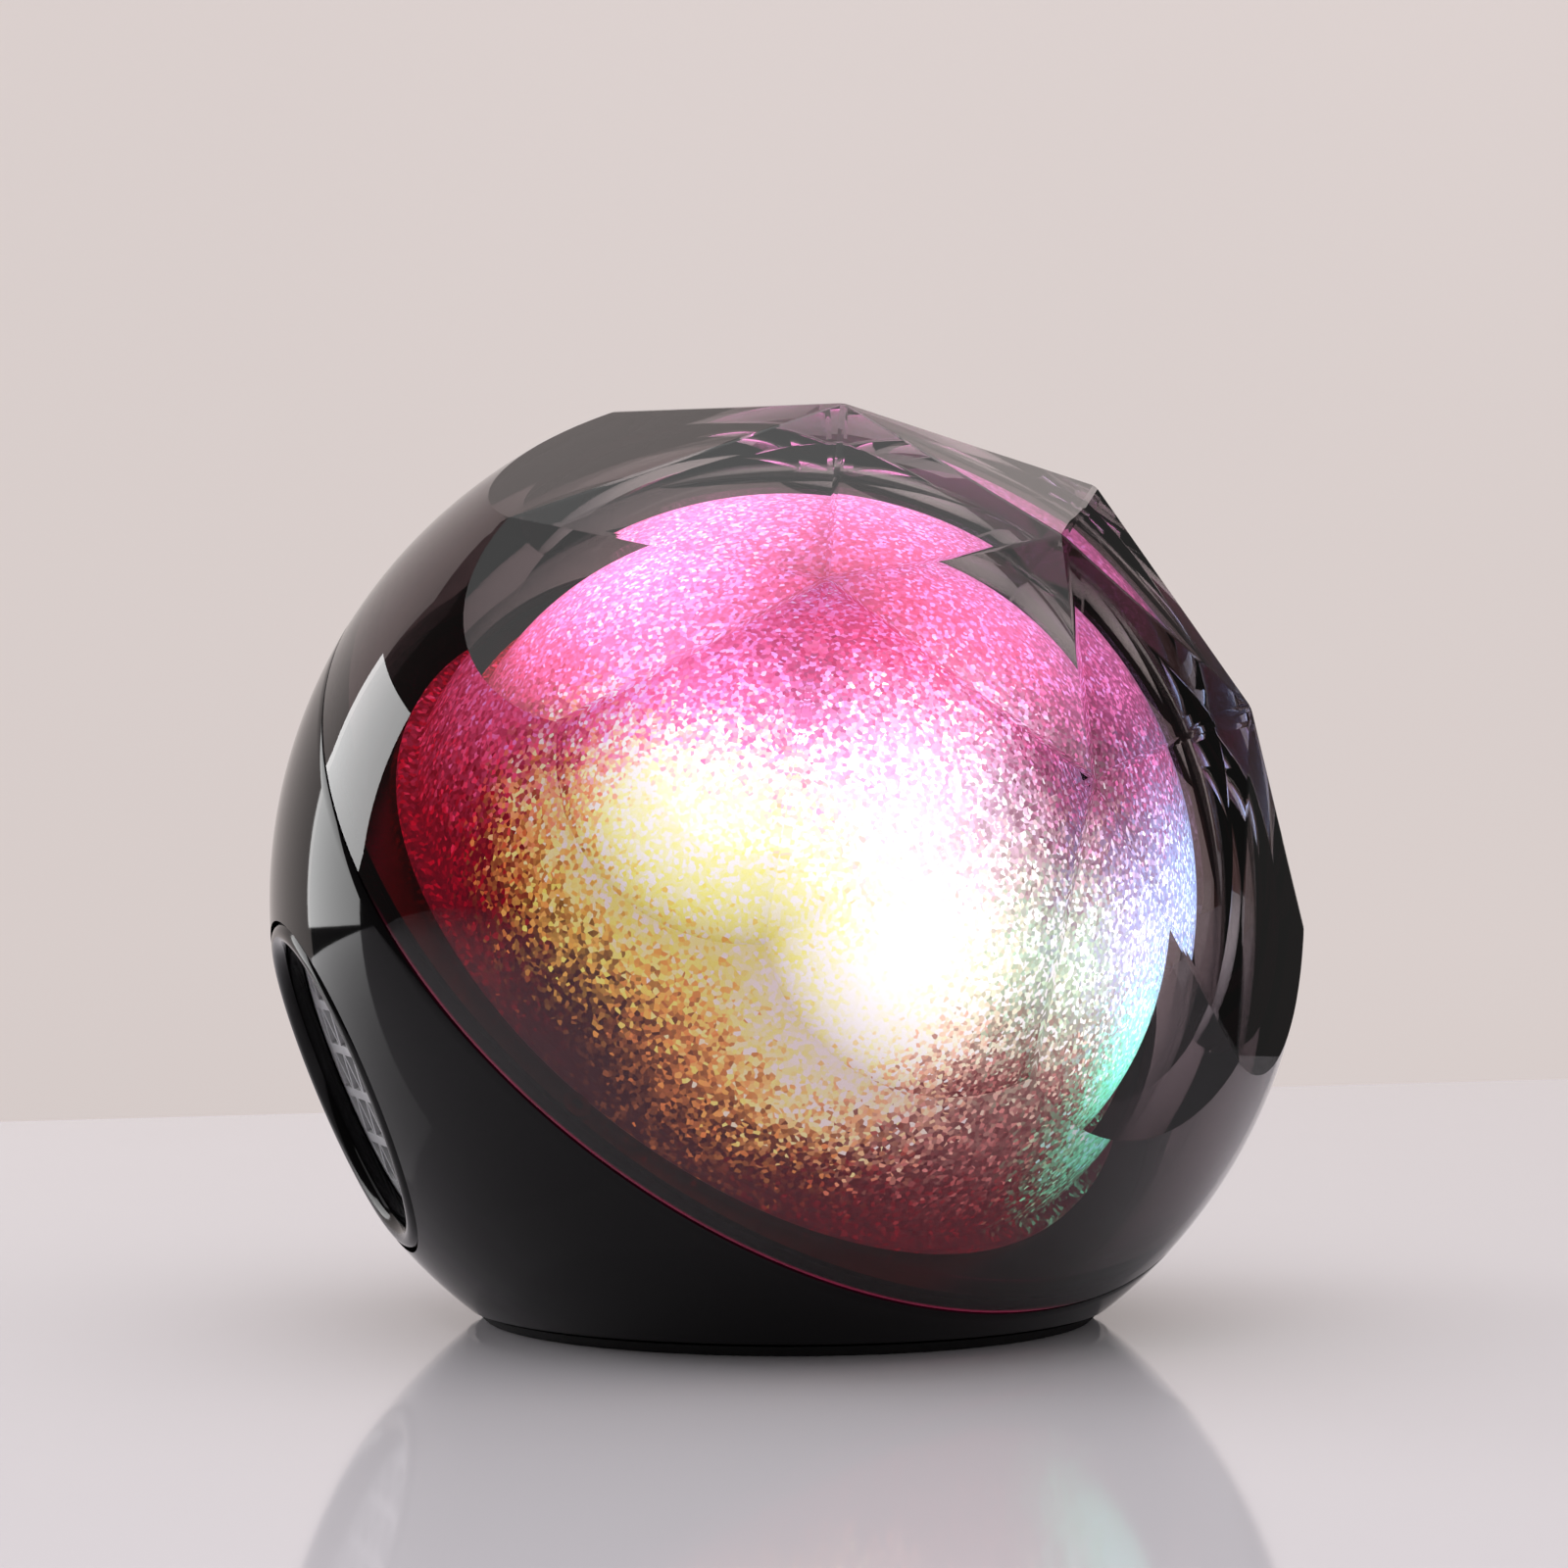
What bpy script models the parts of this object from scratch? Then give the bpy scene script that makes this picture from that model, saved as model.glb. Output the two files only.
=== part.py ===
"""A ball-shaped lamp with a built-in stereo loudspeaker, standing on its own flat base.

The ball leans. Its clear faceted half looks forwards and up over a glittering inner dome with
the lamps, and its black half holds the loudspeakers, the battery and the controls at the back.
Lengths are in metres and angles in radians. +Z is up, the front faces -Y, and the origin is the
middle of the underside. A piece's own Z axis is the line that it is turned or stacked along.
"""

import math

import bmesh
import bpy
from mathutils import Matrix, Vector

TURN = 2 * math.pi

# The ball, with its centre's height as a share of its radius
BALL_RADIUS = 0.058
CENTRE_HEIGHT_SHARE = 0.8103
DOME_LEAN = math.radians(47.7)
BALL_SIDES = 48
BALL_RINGS = 24
CORE_SIDES = 36
CORE_RINGS = 18
CLEARANCE = 0.0003
OVERRUN = 0.006
TOUCH = 0.00001
SHARP_ANGLE = math.radians(32)

# The clear faceted dome
FACET_ANGLE = math.radians(30)
FACET_INSET = 0.00025
FACET_SIDES = 5
DOME_WALL = 0.0052
TONGUE_DEPTH = 0.0026
TONGUE_WALL = 0.0022

# The glittering inner dome and the plate that carries it
GLITTER_GAP = 0.0051
GLITTER_WALL = 0.0012
GLITTER_FLANGE = 0.0018
GLITTER_SIDES = 32
GLITTER_STEPS = 7
MID_PLATE_THICKNESS = 0.002
MID_PLATE_SIDES = 36
WIRE_HOLE_RADIUS = 0.004
DISH_HOLE_GAP = 0.0016
DISH_FLAT_WIDTH = 0.0064
DISH_RISE = 0.004
DISH_THICKNESS = 0.001

# The lamps: their board's radius as a share of the inner dome's, their circle's of the board's
LED_BOARD_SHARE = 0.354
LED_BOARD_THICKNESS = 0.0012
LED_WIDTH = 0.005
LED_HEIGHT = 0.0011
LED_LENS_INSET = 0.0007
LED_LENS_RISE = 0.0005
LED_CIRCLE_SHARE = 0.594
LED_CIRCLE_START = math.radians(180)
LED_COLOURS = {
    "led_white": (0.9, 0.9, 0.85),
    "led_red": (0.9, 0.05, 0.05),
    "led_magenta": (0.9, 0.1, 0.6),
    "led_blue": (0.1, 0.2, 0.95),
    "led_green": (0.1, 0.85, 0.2),
    "led_amber": (0.95, 0.6, 0.1),
}
PEG_RADIUS = 0.0016
PEG_HEIGHT = 0.0012
PEG_INSET = 0.0025

# The black housing
HOUSING_WALL = 0.0026
LEDGE_THICKNESS = 0.002
LEDGE_WIDTH = 0.0045
LUG_RADIUS = 0.003
LUG_DEPTH = 0.006
LUG_INSET = 0.0063
MID_SCREWS = 3
FLOOR_THICKNESS = 0.005
FLOOR_OPENING_INSET = 0.006

# The base
PAD_THICKNESS = 0.0012
PAD_SIDES = 48
BASE_PLATE_INSET = 0.004
BASE_PLATE_THICKNESS = 0.0022
BASE_SCREWS = 4
BASE_SCREW_INSET = 0.003
SMALL_SIDES = 10

# The screws: the larger ones hold the base, the smaller ones the plates and the circuit board
LARGE_HEAD_RADIUS = 0.0022
LARGE_HEAD_HEIGHT = 0.0008
LARGE_SHANK_RADIUS = 0.0011
LARGE_SHANK_LENGTH = 0.0035
SMALL_HEAD_RADIUS = 0.0016
SMALL_HEAD_HEIGHT = 0.0009
SMALL_SHANK_RADIUS = 0.0008
SMALL_SHANK_LENGTH = 0.0052
DRIVE_RADIUS = 0.0007
DRIVE_DEPTH = 0.0004

# The battery lying across the base in a trough, with its sizes as shares of the ball's radius
CELL_RADIUS_SHARE = 0.1578
CELL_LENGTH_SHARE = 1.1207
CELL_FORWARD_SHARE = 0.0862
CELL_TIP_RADIUS = 0.0028
CELL_TIP_LENGTH = 0.001
CELL_SIDES = 24
TROUGH_WALL = 0.0012
TROUGH_FOOT_INSET = 0.0025
TROUGH_FOOT_SHARE = 0.765
TROUGH_FOOT_HEIGHT = 0.002

# The loudspeakers, one on each flank: the rim's radius is a share of the ball's, the basket's
# of the rim's, and the parts behind it have shares of the basket's radius or depth
SIDE_SWEEP = math.radians(26.1)
SIDE_DROP = math.radians(21.8)
SIDE_SIDES = 36
RIM_SHARE = 0.3328
RIM_WIDTH = 0.0027
RIM_CROWN = 0.0004
SEAT_DEPTH = 0.0047
SEAT_THICKNESS = 0.0014
SEAT_WALL = 0.0019
SOUND_HOLE_INSET = 0.0015
GRILLE_INSET = 0.0019
GRILLE_DEPTH = 0.0027
GRILLE_THICKNESS = 0.001
GRILLE_BORDER = 0.0014
GRILLE_ROW_SHARE = 0.3103
GRILLE_BAR_WIDTH = 0.00115
GRILLE_ZIGZAG_SHARE = 0.3218
GRILLE_STROKE_WIDTH = 0.00065
DRIVER_SIDES = 24
BASKET_SHARE = 1.0622
BASKET_FLANGE_THICKNESS = 0.0012
BASKET_FLANGE_WIDTH = 0.0045
BASKET_DEPTH_SHARE = 0.5366
BASKET_NECK_SHARE = 0.5756
BASKET_WALL = 0.001
BASKET_WINDOW_SHARES = (0.5366, 0.2927)
CONE_GAP = 0.0018
CONE_DEPTH_SHARE = 0.709
CONE_WALL = 0.0006
CONE_TRAVEL = 0.0008
CAP_OVERLAP = 0.0006
CAP_RISE = 0.0022
CAP_STEPS = 3
COIL_SHARE = 0.2537
COIL_WALL = 0.0005
COIL_LENGTH_SHARE = 0.618
POLE_GAP = 0.0005
COIL_GAP = 0.0004
WASHER_SHARE = 0.5366
WASHER_THICKNESS = 0.0015
MAGNET_SHARE = 0.5854
MAGNET_THICKNESS_SHARE = 0.2244
YOKE_THICKNESS = 0.0014
SURROUND_LIP = 0.001
SURROUND_WALL = 0.0004
ROLL_STEPS = 4

# The control panel at the back: its width is a share of the ball's radius, and its height and
# the places on it are shares of its width
PANEL_RISE = math.radians(10)
PANEL_WIDTH_SHARE = 0.6207
PANEL_HEIGHT_SHARE = 0.6667
PANEL_CORNER = 0.004
PANEL_CORNER_STEPS = 4
PANEL_SINK = 0.0006
PANEL_THICKNESS = 0.002
SHELF_WIDTH = 0.0017
SHELF_THICKNESS = 0.0012
COLLAR_WALL = 0.002
BOARD_DEPTH = 0.0078
BOARD_SIDE_OVERHANG = 0.002
BOARD_EDGE_OVERHANG = 0.001
BOARD_THICKNESS = 0.0012
POST_RADIUS = 0.0019
POST_INSET = 0.0038
BUTTON_SHARE = 0.375
BUTTON_SIDES = 16
BUTTON_PROUD = 0.0012
BUTTON_FLANGE = 0.0008
BUTTON_STEM_RADIUS = 0.0013
BUTTON_TRAVEL = 0.0005
BUTTON_ROUND = 0.0004
BUTTON_PITCH_SHARE = 0.2222
BUTTON_ROW = 0.0055
BUTTON_NAMES = ("light_button", "previous_button", "play_button", "next_button")
TACT_WIDTH = 0.0045
TACT_HEIGHT = 0.003
TACT_PLUNGER_INSET = 0.0014
TACT_PLUNGER_RISE = 0.0005
SOCKET_ROW = 0.0055
USB_PLACE_SHARE = 0.25
USB_WIDTH = 0.008
USB_HEIGHT = 0.0032
USB_WALL = 0.0004
USB_DEPTH = 0.006
USB_SINK = 0.0005
AUX_PLACE_SHARE = 0.0278
AUX_BODY_WIDTH = 0.0064
AUX_BARREL_RADIUS = 0.0029
AUX_BORE_RADIUS = 0.0018
AUX_BORE_DEPTH = 0.008
SWITCH_PLACE_SHARE = 0.2917
SWITCH_WIDTH = 0.0086
SWITCH_HEIGHT = 0.004
SWITCH_DEPTH = 0.0034
SLIDER_WIDTH = 0.002
SLIDER_HEIGHT = 0.0016
SLIDER_TRAVEL = 0.002
SLIDER_ROOT = 0.001
SLIDER_PROUD = 0.001
LENS_RADIUS = 0.0009
LENS_PLACE_SHARE = 0.1444
LENS_LENGTH = 0.0032
MODULE_WIDTH = 0.014
MODULE_HEIGHT = 0.010
MODULE_THICKNESS = 0.0008
MODULE_CAN_INSET = 0.0012
MODULE_CAN_RISE = 0.0012


def remove_everything():
    """The scene starts with no objects in it."""
    for old in list(bpy.data.objects):
        bpy.data.objects.remove(old, do_unlink=True)


def finish(name, colour, roughness, metallic=0.0):
    """A Principled material of one colour."""
    made = bpy.data.materials.new(name)
    made.use_nodes = True
    shader = made.node_tree.nodes["Principled BSDF"]
    shader.inputs["Base Color"].default_value = (*colour, 1.0)
    shader.inputs["Roughness"].default_value = roughness
    shader.inputs["Metallic"].default_value = metallic
    return made


def frame(name, parent=None, place=(0, 0, 0), angles=(0, 0, 0)):
    """An empty that carries the pieces lying along one line."""
    made = bpy.data.objects.new(name, None)
    bpy.context.collection.objects.link(made)
    made.parent = parent
    made.location = place
    made.rotation_euler = angles
    return made


def piece(name, body, material, parent=None, place=(0, 0, 0), angles=(0, 0, 0)):
    """An object made of a bmesh, which is used up."""
    bmesh.ops.recalc_face_normals(body, faces=body.faces)
    mesh = bpy.data.meshes.new(name)
    body.to_mesh(mesh)
    body.free()
    mesh.shade_smooth()
    mesh.set_sharp_from_angle(angle=SHARP_ANGLE)
    made = bpy.data.objects.new(name, mesh)
    if material:
        made.data.materials.append(material)
    bpy.context.collection.objects.link(made)
    made.parent = parent
    made.location = place
    made.rotation_euler = angles
    return made


def tool(name, body, parent=None, place=(0, 0, 0), angles=(0, 0, 0)):
    """A shape that only cuts or joins others, and isn't part of the lamp."""
    made = piece(name, body, None, parent, place, angles)
    made.hide_render = True
    made.display_type = "WIRE"
    return made


def combine(target, operation, *tools):
    """Booleans of a target with its tools, one after another."""
    for other in tools:
        made = target.modifiers.new(other.name, "BOOLEAN")
        made.operation = operation
        made.object = other
        made.solver = "EXACT"


def turned(profile, sides):
    """A closed profile of (radius, height) points turned about Z. It may start and end on the axis."""
    body = bmesh.new()
    spots = [TURN * (step + 0.5) / sides for step in range(sides)]
    rings = []
    for radius, height in profile:
        if radius < TOUCH:
            rings.append([body.verts.new((0, 0, height))])
        else:
            rings.append([body.verts.new(round_place(radius, spot, height)) for spot in spots])
    pairs = list(zip(rings, rings[1:]))
    if len(rings[0]) > 1 and len(rings[-1]) > 1:
        pairs.append((rings[-1], rings[0]))
    for first, second in pairs:
        for step in range(sides):
            after = (step + 1) % sides
            corners = (
                first[step % len(first)],
                first[after % len(first)],
                second[after % len(second)],
                second[step % len(second)],
            )
            body.faces.new(dict.fromkeys(corners))
    return body


def drum(radius, low, high, sides):
    """A plain cylinder along Z."""
    return turned(((0, low), (radius, low), (radius, high), (0, high)), sides)


def ring(inner, outer, low, high, sides):
    """A flat ring along Z."""
    return turned(((inner, low), (outer, low), (outer, high), (inner, high)), sides)


def copies(body, places):
    """The same body once at each of these places."""
    shape = body.verts[:] + body.edges[:] + body.faces[:]
    first = body.verts[:]
    for place in places:
        made = bmesh.ops.duplicate(body, geom=shape)["geom"]
        corners = [part for part in made if isinstance(part, bmesh.types.BMVert)]
        bmesh.ops.translate(body, verts=corners, vec=place)
    bmesh.ops.delete(body, geom=first, context="VERTS")
    return body


def arc(radius, start, end, steps, centre=(0, 0)):
    """Points of an arc as (across, up), with its angles counted from the across axis."""
    spread = end - start
    spots = [start + spread * step / steps for step in range(steps + 1)]
    return [(centre[0] + radius * math.cos(a), centre[1] + radius * math.sin(a)) for a in spots]


def rounded_outline(width, height, corner):
    """The corner points of a rectangle with round corners, about the origin."""
    across = width / 2 - corner
    up = height / 2 - corner
    quarter = TURN / 4
    points = []
    for turn, centre in enumerate(((across, up), (-across, up), (-across, -up), (across, -up))):
        points += arc(corner, turn * quarter, (turn + 1) * quarter, PANEL_CORNER_STEPS, centre)
    return points


def rectangle(width, height):
    """The corner points of a rectangle about the origin."""
    across = width / 2
    up = height / 2
    return [(across, up), (-across, up), (-across, -up), (across, -up)]


def prism(outlines, low, high):
    """One or more outlines of (x, y) points, each made a solid from one height to another."""
    body = bmesh.new()
    for outline in outlines:
        below = [body.verts.new((x, y, low)) for x, y in outline]
        above = [body.verts.new((x, y, high)) for x, y in outline]
        body.faces.new(reversed(below))
        body.faces.new(above)
        for step, corner in enumerate(below):
            after = (step + 1) % len(below)
            body.faces.new((corner, below[after], above[after], above[step]))
    return body


def stepped_block(width, depth, height, inset, rise):
    """A block standing on the origin, with a smaller block rising from its top."""
    body = prism([rectangle(width, depth)], 0, height)
    body.normal_update()
    top = max(body.faces, key=lambda face: face.calc_center_median().z)
    bmesh.ops.inset_region(body, faces=[top], thickness=inset)
    grown = bmesh.ops.extrude_face_region(body, geom=[top])
    raised = [part for part in grown["geom"] if isinstance(part, bmesh.types.BMVert)]
    bmesh.ops.translate(body, verts=raised, vec=(0, 0, rise))
    bmesh.ops.delete(body, geom=[top], context="FACES_ONLY")
    return body


def ball(radius, sides, rings):
    """A ball of flat faces, with its poles on Z."""
    body = bmesh.new()
    bmesh.ops.create_uvsphere(body, u_segments=sides, v_segments=rings, radius=radius)
    return body


def keep_below(body, point, normal):
    """What lies beyond a plane is cut off, and the cut is closed."""
    everything = body.verts[:] + body.edges[:] + body.faces[:]
    bmesh.ops.bisect_plane(
        body, geom=everything, dist=TOUCH, plane_co=point, plane_no=normal, clear_outer=True
    )
    rim = [edge for edge in body.edges if edge.is_boundary]
    bmesh.ops.holes_fill(body, edges=rim, sides=0)


def reach(radius, height):
    """How far a ball of this radius reaches from its axis at this height."""
    return math.sqrt(radius**2 - height**2)


def flat_reach(radius, height):
    """The same for the flats of the housing's hollow, which lie inside the true ball."""
    flats = math.cos(math.pi / CORE_SIDES) * math.cos(math.pi / CORE_RINGS / 2)
    return reach(radius * flats, height) - 2 * CLEARANCE


def round_place(radius, angle, height=0):
    """A place at an angle on a circle about Z."""
    return Vector((radius * math.cos(angle), radius * math.sin(angle), height))


def evenly_round(radius, count, start=0):
    """Places evenly round a circle about Z."""
    return [round_place(radius, start + TURN * step / count) for step in range(count)]


def screw(name, head, shank, parent, place, turn=0):
    """A pan-head screw: its head starts at its origin and its shank runs up Z, before it is turned over."""
    head_radius, head_height = head
    shank_radius, shank_length = shank
    profile = (
        (0, DRIVE_DEPTH),
        (DRIVE_RADIUS, DRIVE_DEPTH),
        (DRIVE_RADIUS, 0),
        (head_radius, 0),
        (head_radius, head_height),
        (shank_radius, head_height),
        (shank_radius, head_height + shank_length),
        (0, head_height + shank_length),
    )
    piece(name, turned(profile, SMALL_SIDES), STEEL, parent, place, (turn, 0, 0))


def small_screw(name, parent, place, turn=0):
    """A screw of the smaller kind."""
    head = (SMALL_HEAD_RADIUS, SMALL_HEAD_HEIGHT)
    screw(name, head, (SMALL_SHANK_RADIUS, SMALL_SHANK_LENGTH), parent, place, turn)


remove_everything()

BLACK_GLOSS = finish("black gloss plastic", (0.012, 0.012, 0.014), 0.12)
BLACK_SATIN = finish("black satin plastic", (0.02, 0.02, 0.022), 0.4)
SMOKED_CLEAR = finish("smoked clear plastic", (0.22, 0.19, 0.18), 0.05)
GLITTER = finish("glittered diffuser plastic", (0.55, 0.12, 0.2), 0.35)
WHITE_PLASTIC = finish("white plastic", (0.8, 0.8, 0.78), 0.4)
RUBBER = finish("black rubber", (0.02, 0.02, 0.02), 0.8)
SOFT_RUBBER = finish("surround rubber", (0.03, 0.03, 0.03), 0.7)
PAPER = finish("cone paper", (0.05, 0.05, 0.05), 0.8)
COPPER = finish("copper wire", (0.72, 0.33, 0.18), 0.35, 1.0)
STEEL = finish("plated steel", (0.55, 0.55, 0.56), 0.3, 1.0)
FERRITE = finish("ferrite magnet", (0.06, 0.06, 0.065), 0.6)
GREEN_BOARD = finish("green circuit board", (0.02, 0.16, 0.06), 0.4)
CELL_WRAP = finish("cell wrap", (0.05, 0.2, 0.55), 0.35)

# The lines that the pieces are stacked along, from the ball's centre
centre_height = CENTRE_HEIGHT_SHARE * BALL_RADIUS
centre = frame("ball_centre", place=(0, 0, centre_height))
dome_line = frame("dome_line", centre, angles=(DOME_LEAN, 0, 0))
panel_line = frame("panel_line", centre, angles=(TURN / 4 - PANEL_RISE, 0, TURN / 2))
side_angle = TURN / 4 + SIDE_SWEEP
left_line = frame("left_line", centre, angles=(TURN / 4 + SIDE_DROP, 0, -side_angle))
right_line = frame("right_line", centre, angles=(TURN / 4 + SIDE_DROP, 0, side_angle))

# The radii of the holes that screws pass through
small_screw_hole = SMALL_SHANK_RADIUS + CLEARANCE
large_screw_hole = LARGE_SHANK_RADIUS + CLEARANCE

# Heights along the dome's line, from the seam down into the housing and up into the dome
housing_bore = BALL_RADIUS - HOUSING_WALL
dome_bore = BALL_RADIUS - DOME_WALL
seam = CLEARANCE / 2
tongue_end = -seam - TONGUE_DEPTH
mid_top = tongue_end - CLEARANCE
mid_bottom = mid_top - MID_PLATE_THICKNESS
ledge_top = mid_bottom - CLEARANCE
ledge_bottom = ledge_top - LEDGE_THICKNESS
tongue_radius = flat_reach(housing_bore, tongue_end)
glitter_radius = tongue_radius - TONGUE_WALL - GLITTER_GAP - GLITTER_FLANGE
led_board_radius = LED_BOARD_SHARE * glitter_radius
led_circle_radius = LED_CIRCLE_SHARE * led_board_radius
dish_hole_radius = led_board_radius + DISH_HOLE_GAP
dish_flat_radius = dish_hole_radius + DISH_FLAT_WIDTH
mid_plate_radius = flat_reach(housing_bore, mid_bottom)
lug_places = evenly_round(housing_bore - LUG_INSET, MID_SCREWS, TURN / 4)

# Heights above the table
pad_radius = reach(BALL_RADIUS, centre_height)
base_plate_radius = pad_radius - BASE_PLATE_INSET
floor_opening_radius = base_plate_radius - FLOOR_OPENING_INSET
housing_bottom = PAD_THICKNESS + CLEARANCE
base_plate_top = housing_bottom + BASE_PLATE_THICKNESS
recess_top = base_plate_top + CLEARANCE
floor_top = housing_bottom + FLOOR_THICKNESS
base_screw_places = evenly_round(base_plate_radius - BASE_SCREW_INSET, BASE_SCREWS, TURN / 8)
cell_radius = CELL_RADIUS_SHARE * BALL_RADIUS
cell_length = CELL_LENGTH_SHARE * BALL_RADIUS

# Radii about a loudspeaker's line
rim_radius = RIM_SHARE * BALL_RADIUS
rim_opening_radius = rim_radius - RIM_WIDTH
sound_hole_radius = rim_radius - SOUND_HOLE_INSET
grille_radius = rim_radius - GRILLE_INSET
row_pitch = GRILLE_ROW_SHARE * grille_radius
zigzag_pitch = GRILLE_ZIGZAG_SHARE * grille_radius
basket_radius = BASKET_SHARE * rim_radius
basket_lip_radius = basket_radius - BASKET_FLANGE_WIDTH
basket_neck_radius = BASKET_NECK_SHARE * basket_radius
window_width, window_height = (share * basket_radius for share in BASKET_WINDOW_SHARES)
cone_radius = basket_lip_radius - CONE_GAP
coil_radius = COIL_SHARE * basket_radius
cap_radius = coil_radius + CAP_OVERLAP
gap_radius = coil_radius + COIL_GAP
pole_radius = coil_radius - COIL_WALL - POLE_GAP
washer_radius = WASHER_SHARE * basket_radius
magnet_radius = MAGNET_SHARE * basket_radius

# Distances from the ball's centre along a loudspeaker's line
basket_depth = BASKET_DEPTH_SHARE * basket_radius
magnet_thickness = MAGNET_THICKNESS_SHARE * basket_radius
cone_depth = CONE_DEPTH_SHARE * basket_depth
coil_length = COIL_LENGTH_SHARE * basket_depth
rim_seat_radius = rim_radius + CLEARANCE
side_cap = reach(BALL_RADIUS, rim_radius)
seat_face = side_cap - SEAT_DEPTH
seat_back = seat_face - SEAT_THICKNESS
grille_top = side_cap - GRILLE_DEPTH
grille_bottom = grille_top - GRILLE_THICKNESS
flange_top = seat_back - CLEARANCE
flange_bottom = flange_top - BASKET_FLANGE_THICKNESS
basket_bottom = flange_bottom - basket_depth
washer_top = basket_bottom - CLEARANCE
washer_bottom = washer_top - WASHER_THICKNESS
magnet_top = washer_bottom - CLEARANCE
magnet_bottom = magnet_top - magnet_thickness
yoke_top = magnet_bottom - CLEARANCE
cone_neck = flange_top - cone_depth
coil_top = cone_neck - CLEARANCE

# Widths and places across the control panel
panel_width = PANEL_WIDTH_SHARE * BALL_RADIUS
panel_height = PANEL_HEIGHT_SHARE * panel_width
board_width = panel_width + 2 * BOARD_SIDE_OVERHANG
board_height = panel_height + 2 * BOARD_EDGE_OVERHANG
button_pitch = BUTTON_PITCH_SHARE * panel_width
button_radius = BUTTON_SHARE * button_pitch
usb_place = USB_PLACE_SHARE * panel_width
aux_place = AUX_PLACE_SHARE * panel_width
switch_place = SWITCH_PLACE_SHARE * panel_width
lens_place = LENS_PLACE_SHARE * panel_width
post_place = panel_width / 2 - POST_INSET

# Distances from the ball's centre along the control panel's line
pocket_width = panel_width + 2 * CLEARANCE
pocket_height = panel_height + 2 * CLEARANCE
pocket_corner = PANEL_CORNER + CLEARANCE
panel_face = reach(BALL_RADIUS, math.hypot(pocket_width, pocket_height) / 2) - PANEL_SINK
panel_back = panel_face - PANEL_THICKNESS
shelf_face = panel_back - CLEARANCE
shelf_back = shelf_face - SHELF_THICKNESS
board_face = panel_back - BOARD_DEPTH
board_back = board_face - BOARD_THICKNESS
on_board = board_face + CLEARANCE
tact_top = on_board + TACT_HEIGHT + TACT_PLUNGER_RISE
post_places = [Vector((-post_place, 0, 0)), Vector((post_place, 0, 0))]
slot_width = SLIDER_WIDTH + SLIDER_TRAVEL + 2 * CLEARANCE
slot_height = SLIDER_HEIGHT + 2 * CLEARANCE
first_button = -button_pitch * (len(BUTTON_NAMES) - 1) / 2
button_places = [first_button + button_pitch * step for step in range(len(BUTTON_NAMES))]


def housing_hollow():
    """The hollow of the housing: the ball's inside, less every ledge, boss and collar that stands in it."""
    body = ball(housing_bore, CORE_SIDES, CORE_RINGS)
    upright = Matrix.Rotation(-DOME_LEAN, 3, "X")
    keep_below(body, upright @ Vector((0, 0, floor_top - centre_height)), upright @ Vector((0, 0, -1)))
    hollow = tool("hollow", body, dome_line)
    beyond = BALL_RADIUS + OVERRUN
    ledge = ring(housing_bore - LEDGE_WIDTH, beyond, ledge_bottom, ledge_top, BALL_SIDES)
    lugs = copies(drum(LUG_RADIUS, ledge_top - LUG_DEPTH, ledge_top, SMALL_SIDES), lug_places)
    bosses = [tool("ledge", ledge, dome_line), tool("lugs", lugs, dome_line)]
    for flank in (left_line, right_line):
        boss = drum(rim_seat_radius + SEAT_WALL, seat_back, beyond, SIDE_SIDES)
        bosses.append(tool("seat_boss", boss, flank))
    wall = 2 * COLLAR_WALL
    outline = rounded_outline(pocket_width + wall, pocket_height + wall, pocket_corner + COLLAR_WALL)
    bosses.append(tool("collar", prism([outline], shelf_back, beyond), panel_line))
    combine(hollow, "DIFFERENCE", *bosses)
    return hollow


def rear_housing():
    """The black half of the ball, with its openings for the base, the loudspeakers and the panel."""
    body = ball(BALL_RADIUS, BALL_SIDES, BALL_RINGS)
    keep_below(body, Vector((0, 0, -seam)), Vector((0, 0, 1)))
    upright = Matrix.Rotation(-DOME_LEAN, 3, "X")
    keep_below(body, upright @ Vector((0, 0, housing_bottom - centre_height)), upright @ Vector((0, 0, -1)))
    housing = piece("rear_housing", body, BLACK_GLOSS, dome_line)
    beyond = BALL_RADIUS + OVERRUN
    under = -OVERRUN
    over = floor_top + OVERRUN
    opening = (
        (0, under),
        (base_plate_radius + CLEARANCE, under),
        (base_plate_radius + CLEARANCE, recess_top),
        (floor_opening_radius, recess_top),
        (floor_opening_radius, over),
        (0, over),
    )
    base_holes = copies(drum(large_screw_hole, under, over, SMALL_SIDES), base_screw_places)
    mid_seat = drum(tongue_radius + CLEARANCE, ledge_top, beyond, BALL_SIDES)
    cuts = [
        housing_hollow(),
        tool("mid_seat", mid_seat, dome_line),
        tool("floor_opening", turned(opening, BALL_SIDES)),
        tool("base_holes", base_holes),
    ]
    seat = (
        (0, seat_back - OVERRUN),
        (sound_hole_radius, seat_back - OVERRUN),
        (sound_hole_radius, seat_face),
        (rim_seat_radius, seat_face),
        (rim_seat_radius, beyond),
        (0, beyond),
    )
    for flank in (left_line, right_line):
        cuts.append(tool("rim_seat", turned(seat, SIDE_SIDES), flank))
    pocket = rounded_outline(pocket_width, pocket_height, pocket_corner)
    cuts.append(tool("panel_pocket", prism([pocket], shelf_face, beyond), panel_line))
    shelf = 2 * SHELF_WIDTH
    through = rounded_outline(pocket_width - shelf, pocket_height - shelf, pocket_corner)
    cuts.append(tool("panel_window", prism([through], shelf_back - OVERRUN, beyond), panel_line))
    lug_hole = drum(small_screw_hole, ledge_top - LUG_DEPTH - OVERRUN, mid_top, SMALL_SIDES)
    cuts.append(tool("lug_holes", copies(lug_hole, lug_places), dome_line))
    combine(housing, "DIFFERENCE", *cuts)


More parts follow.
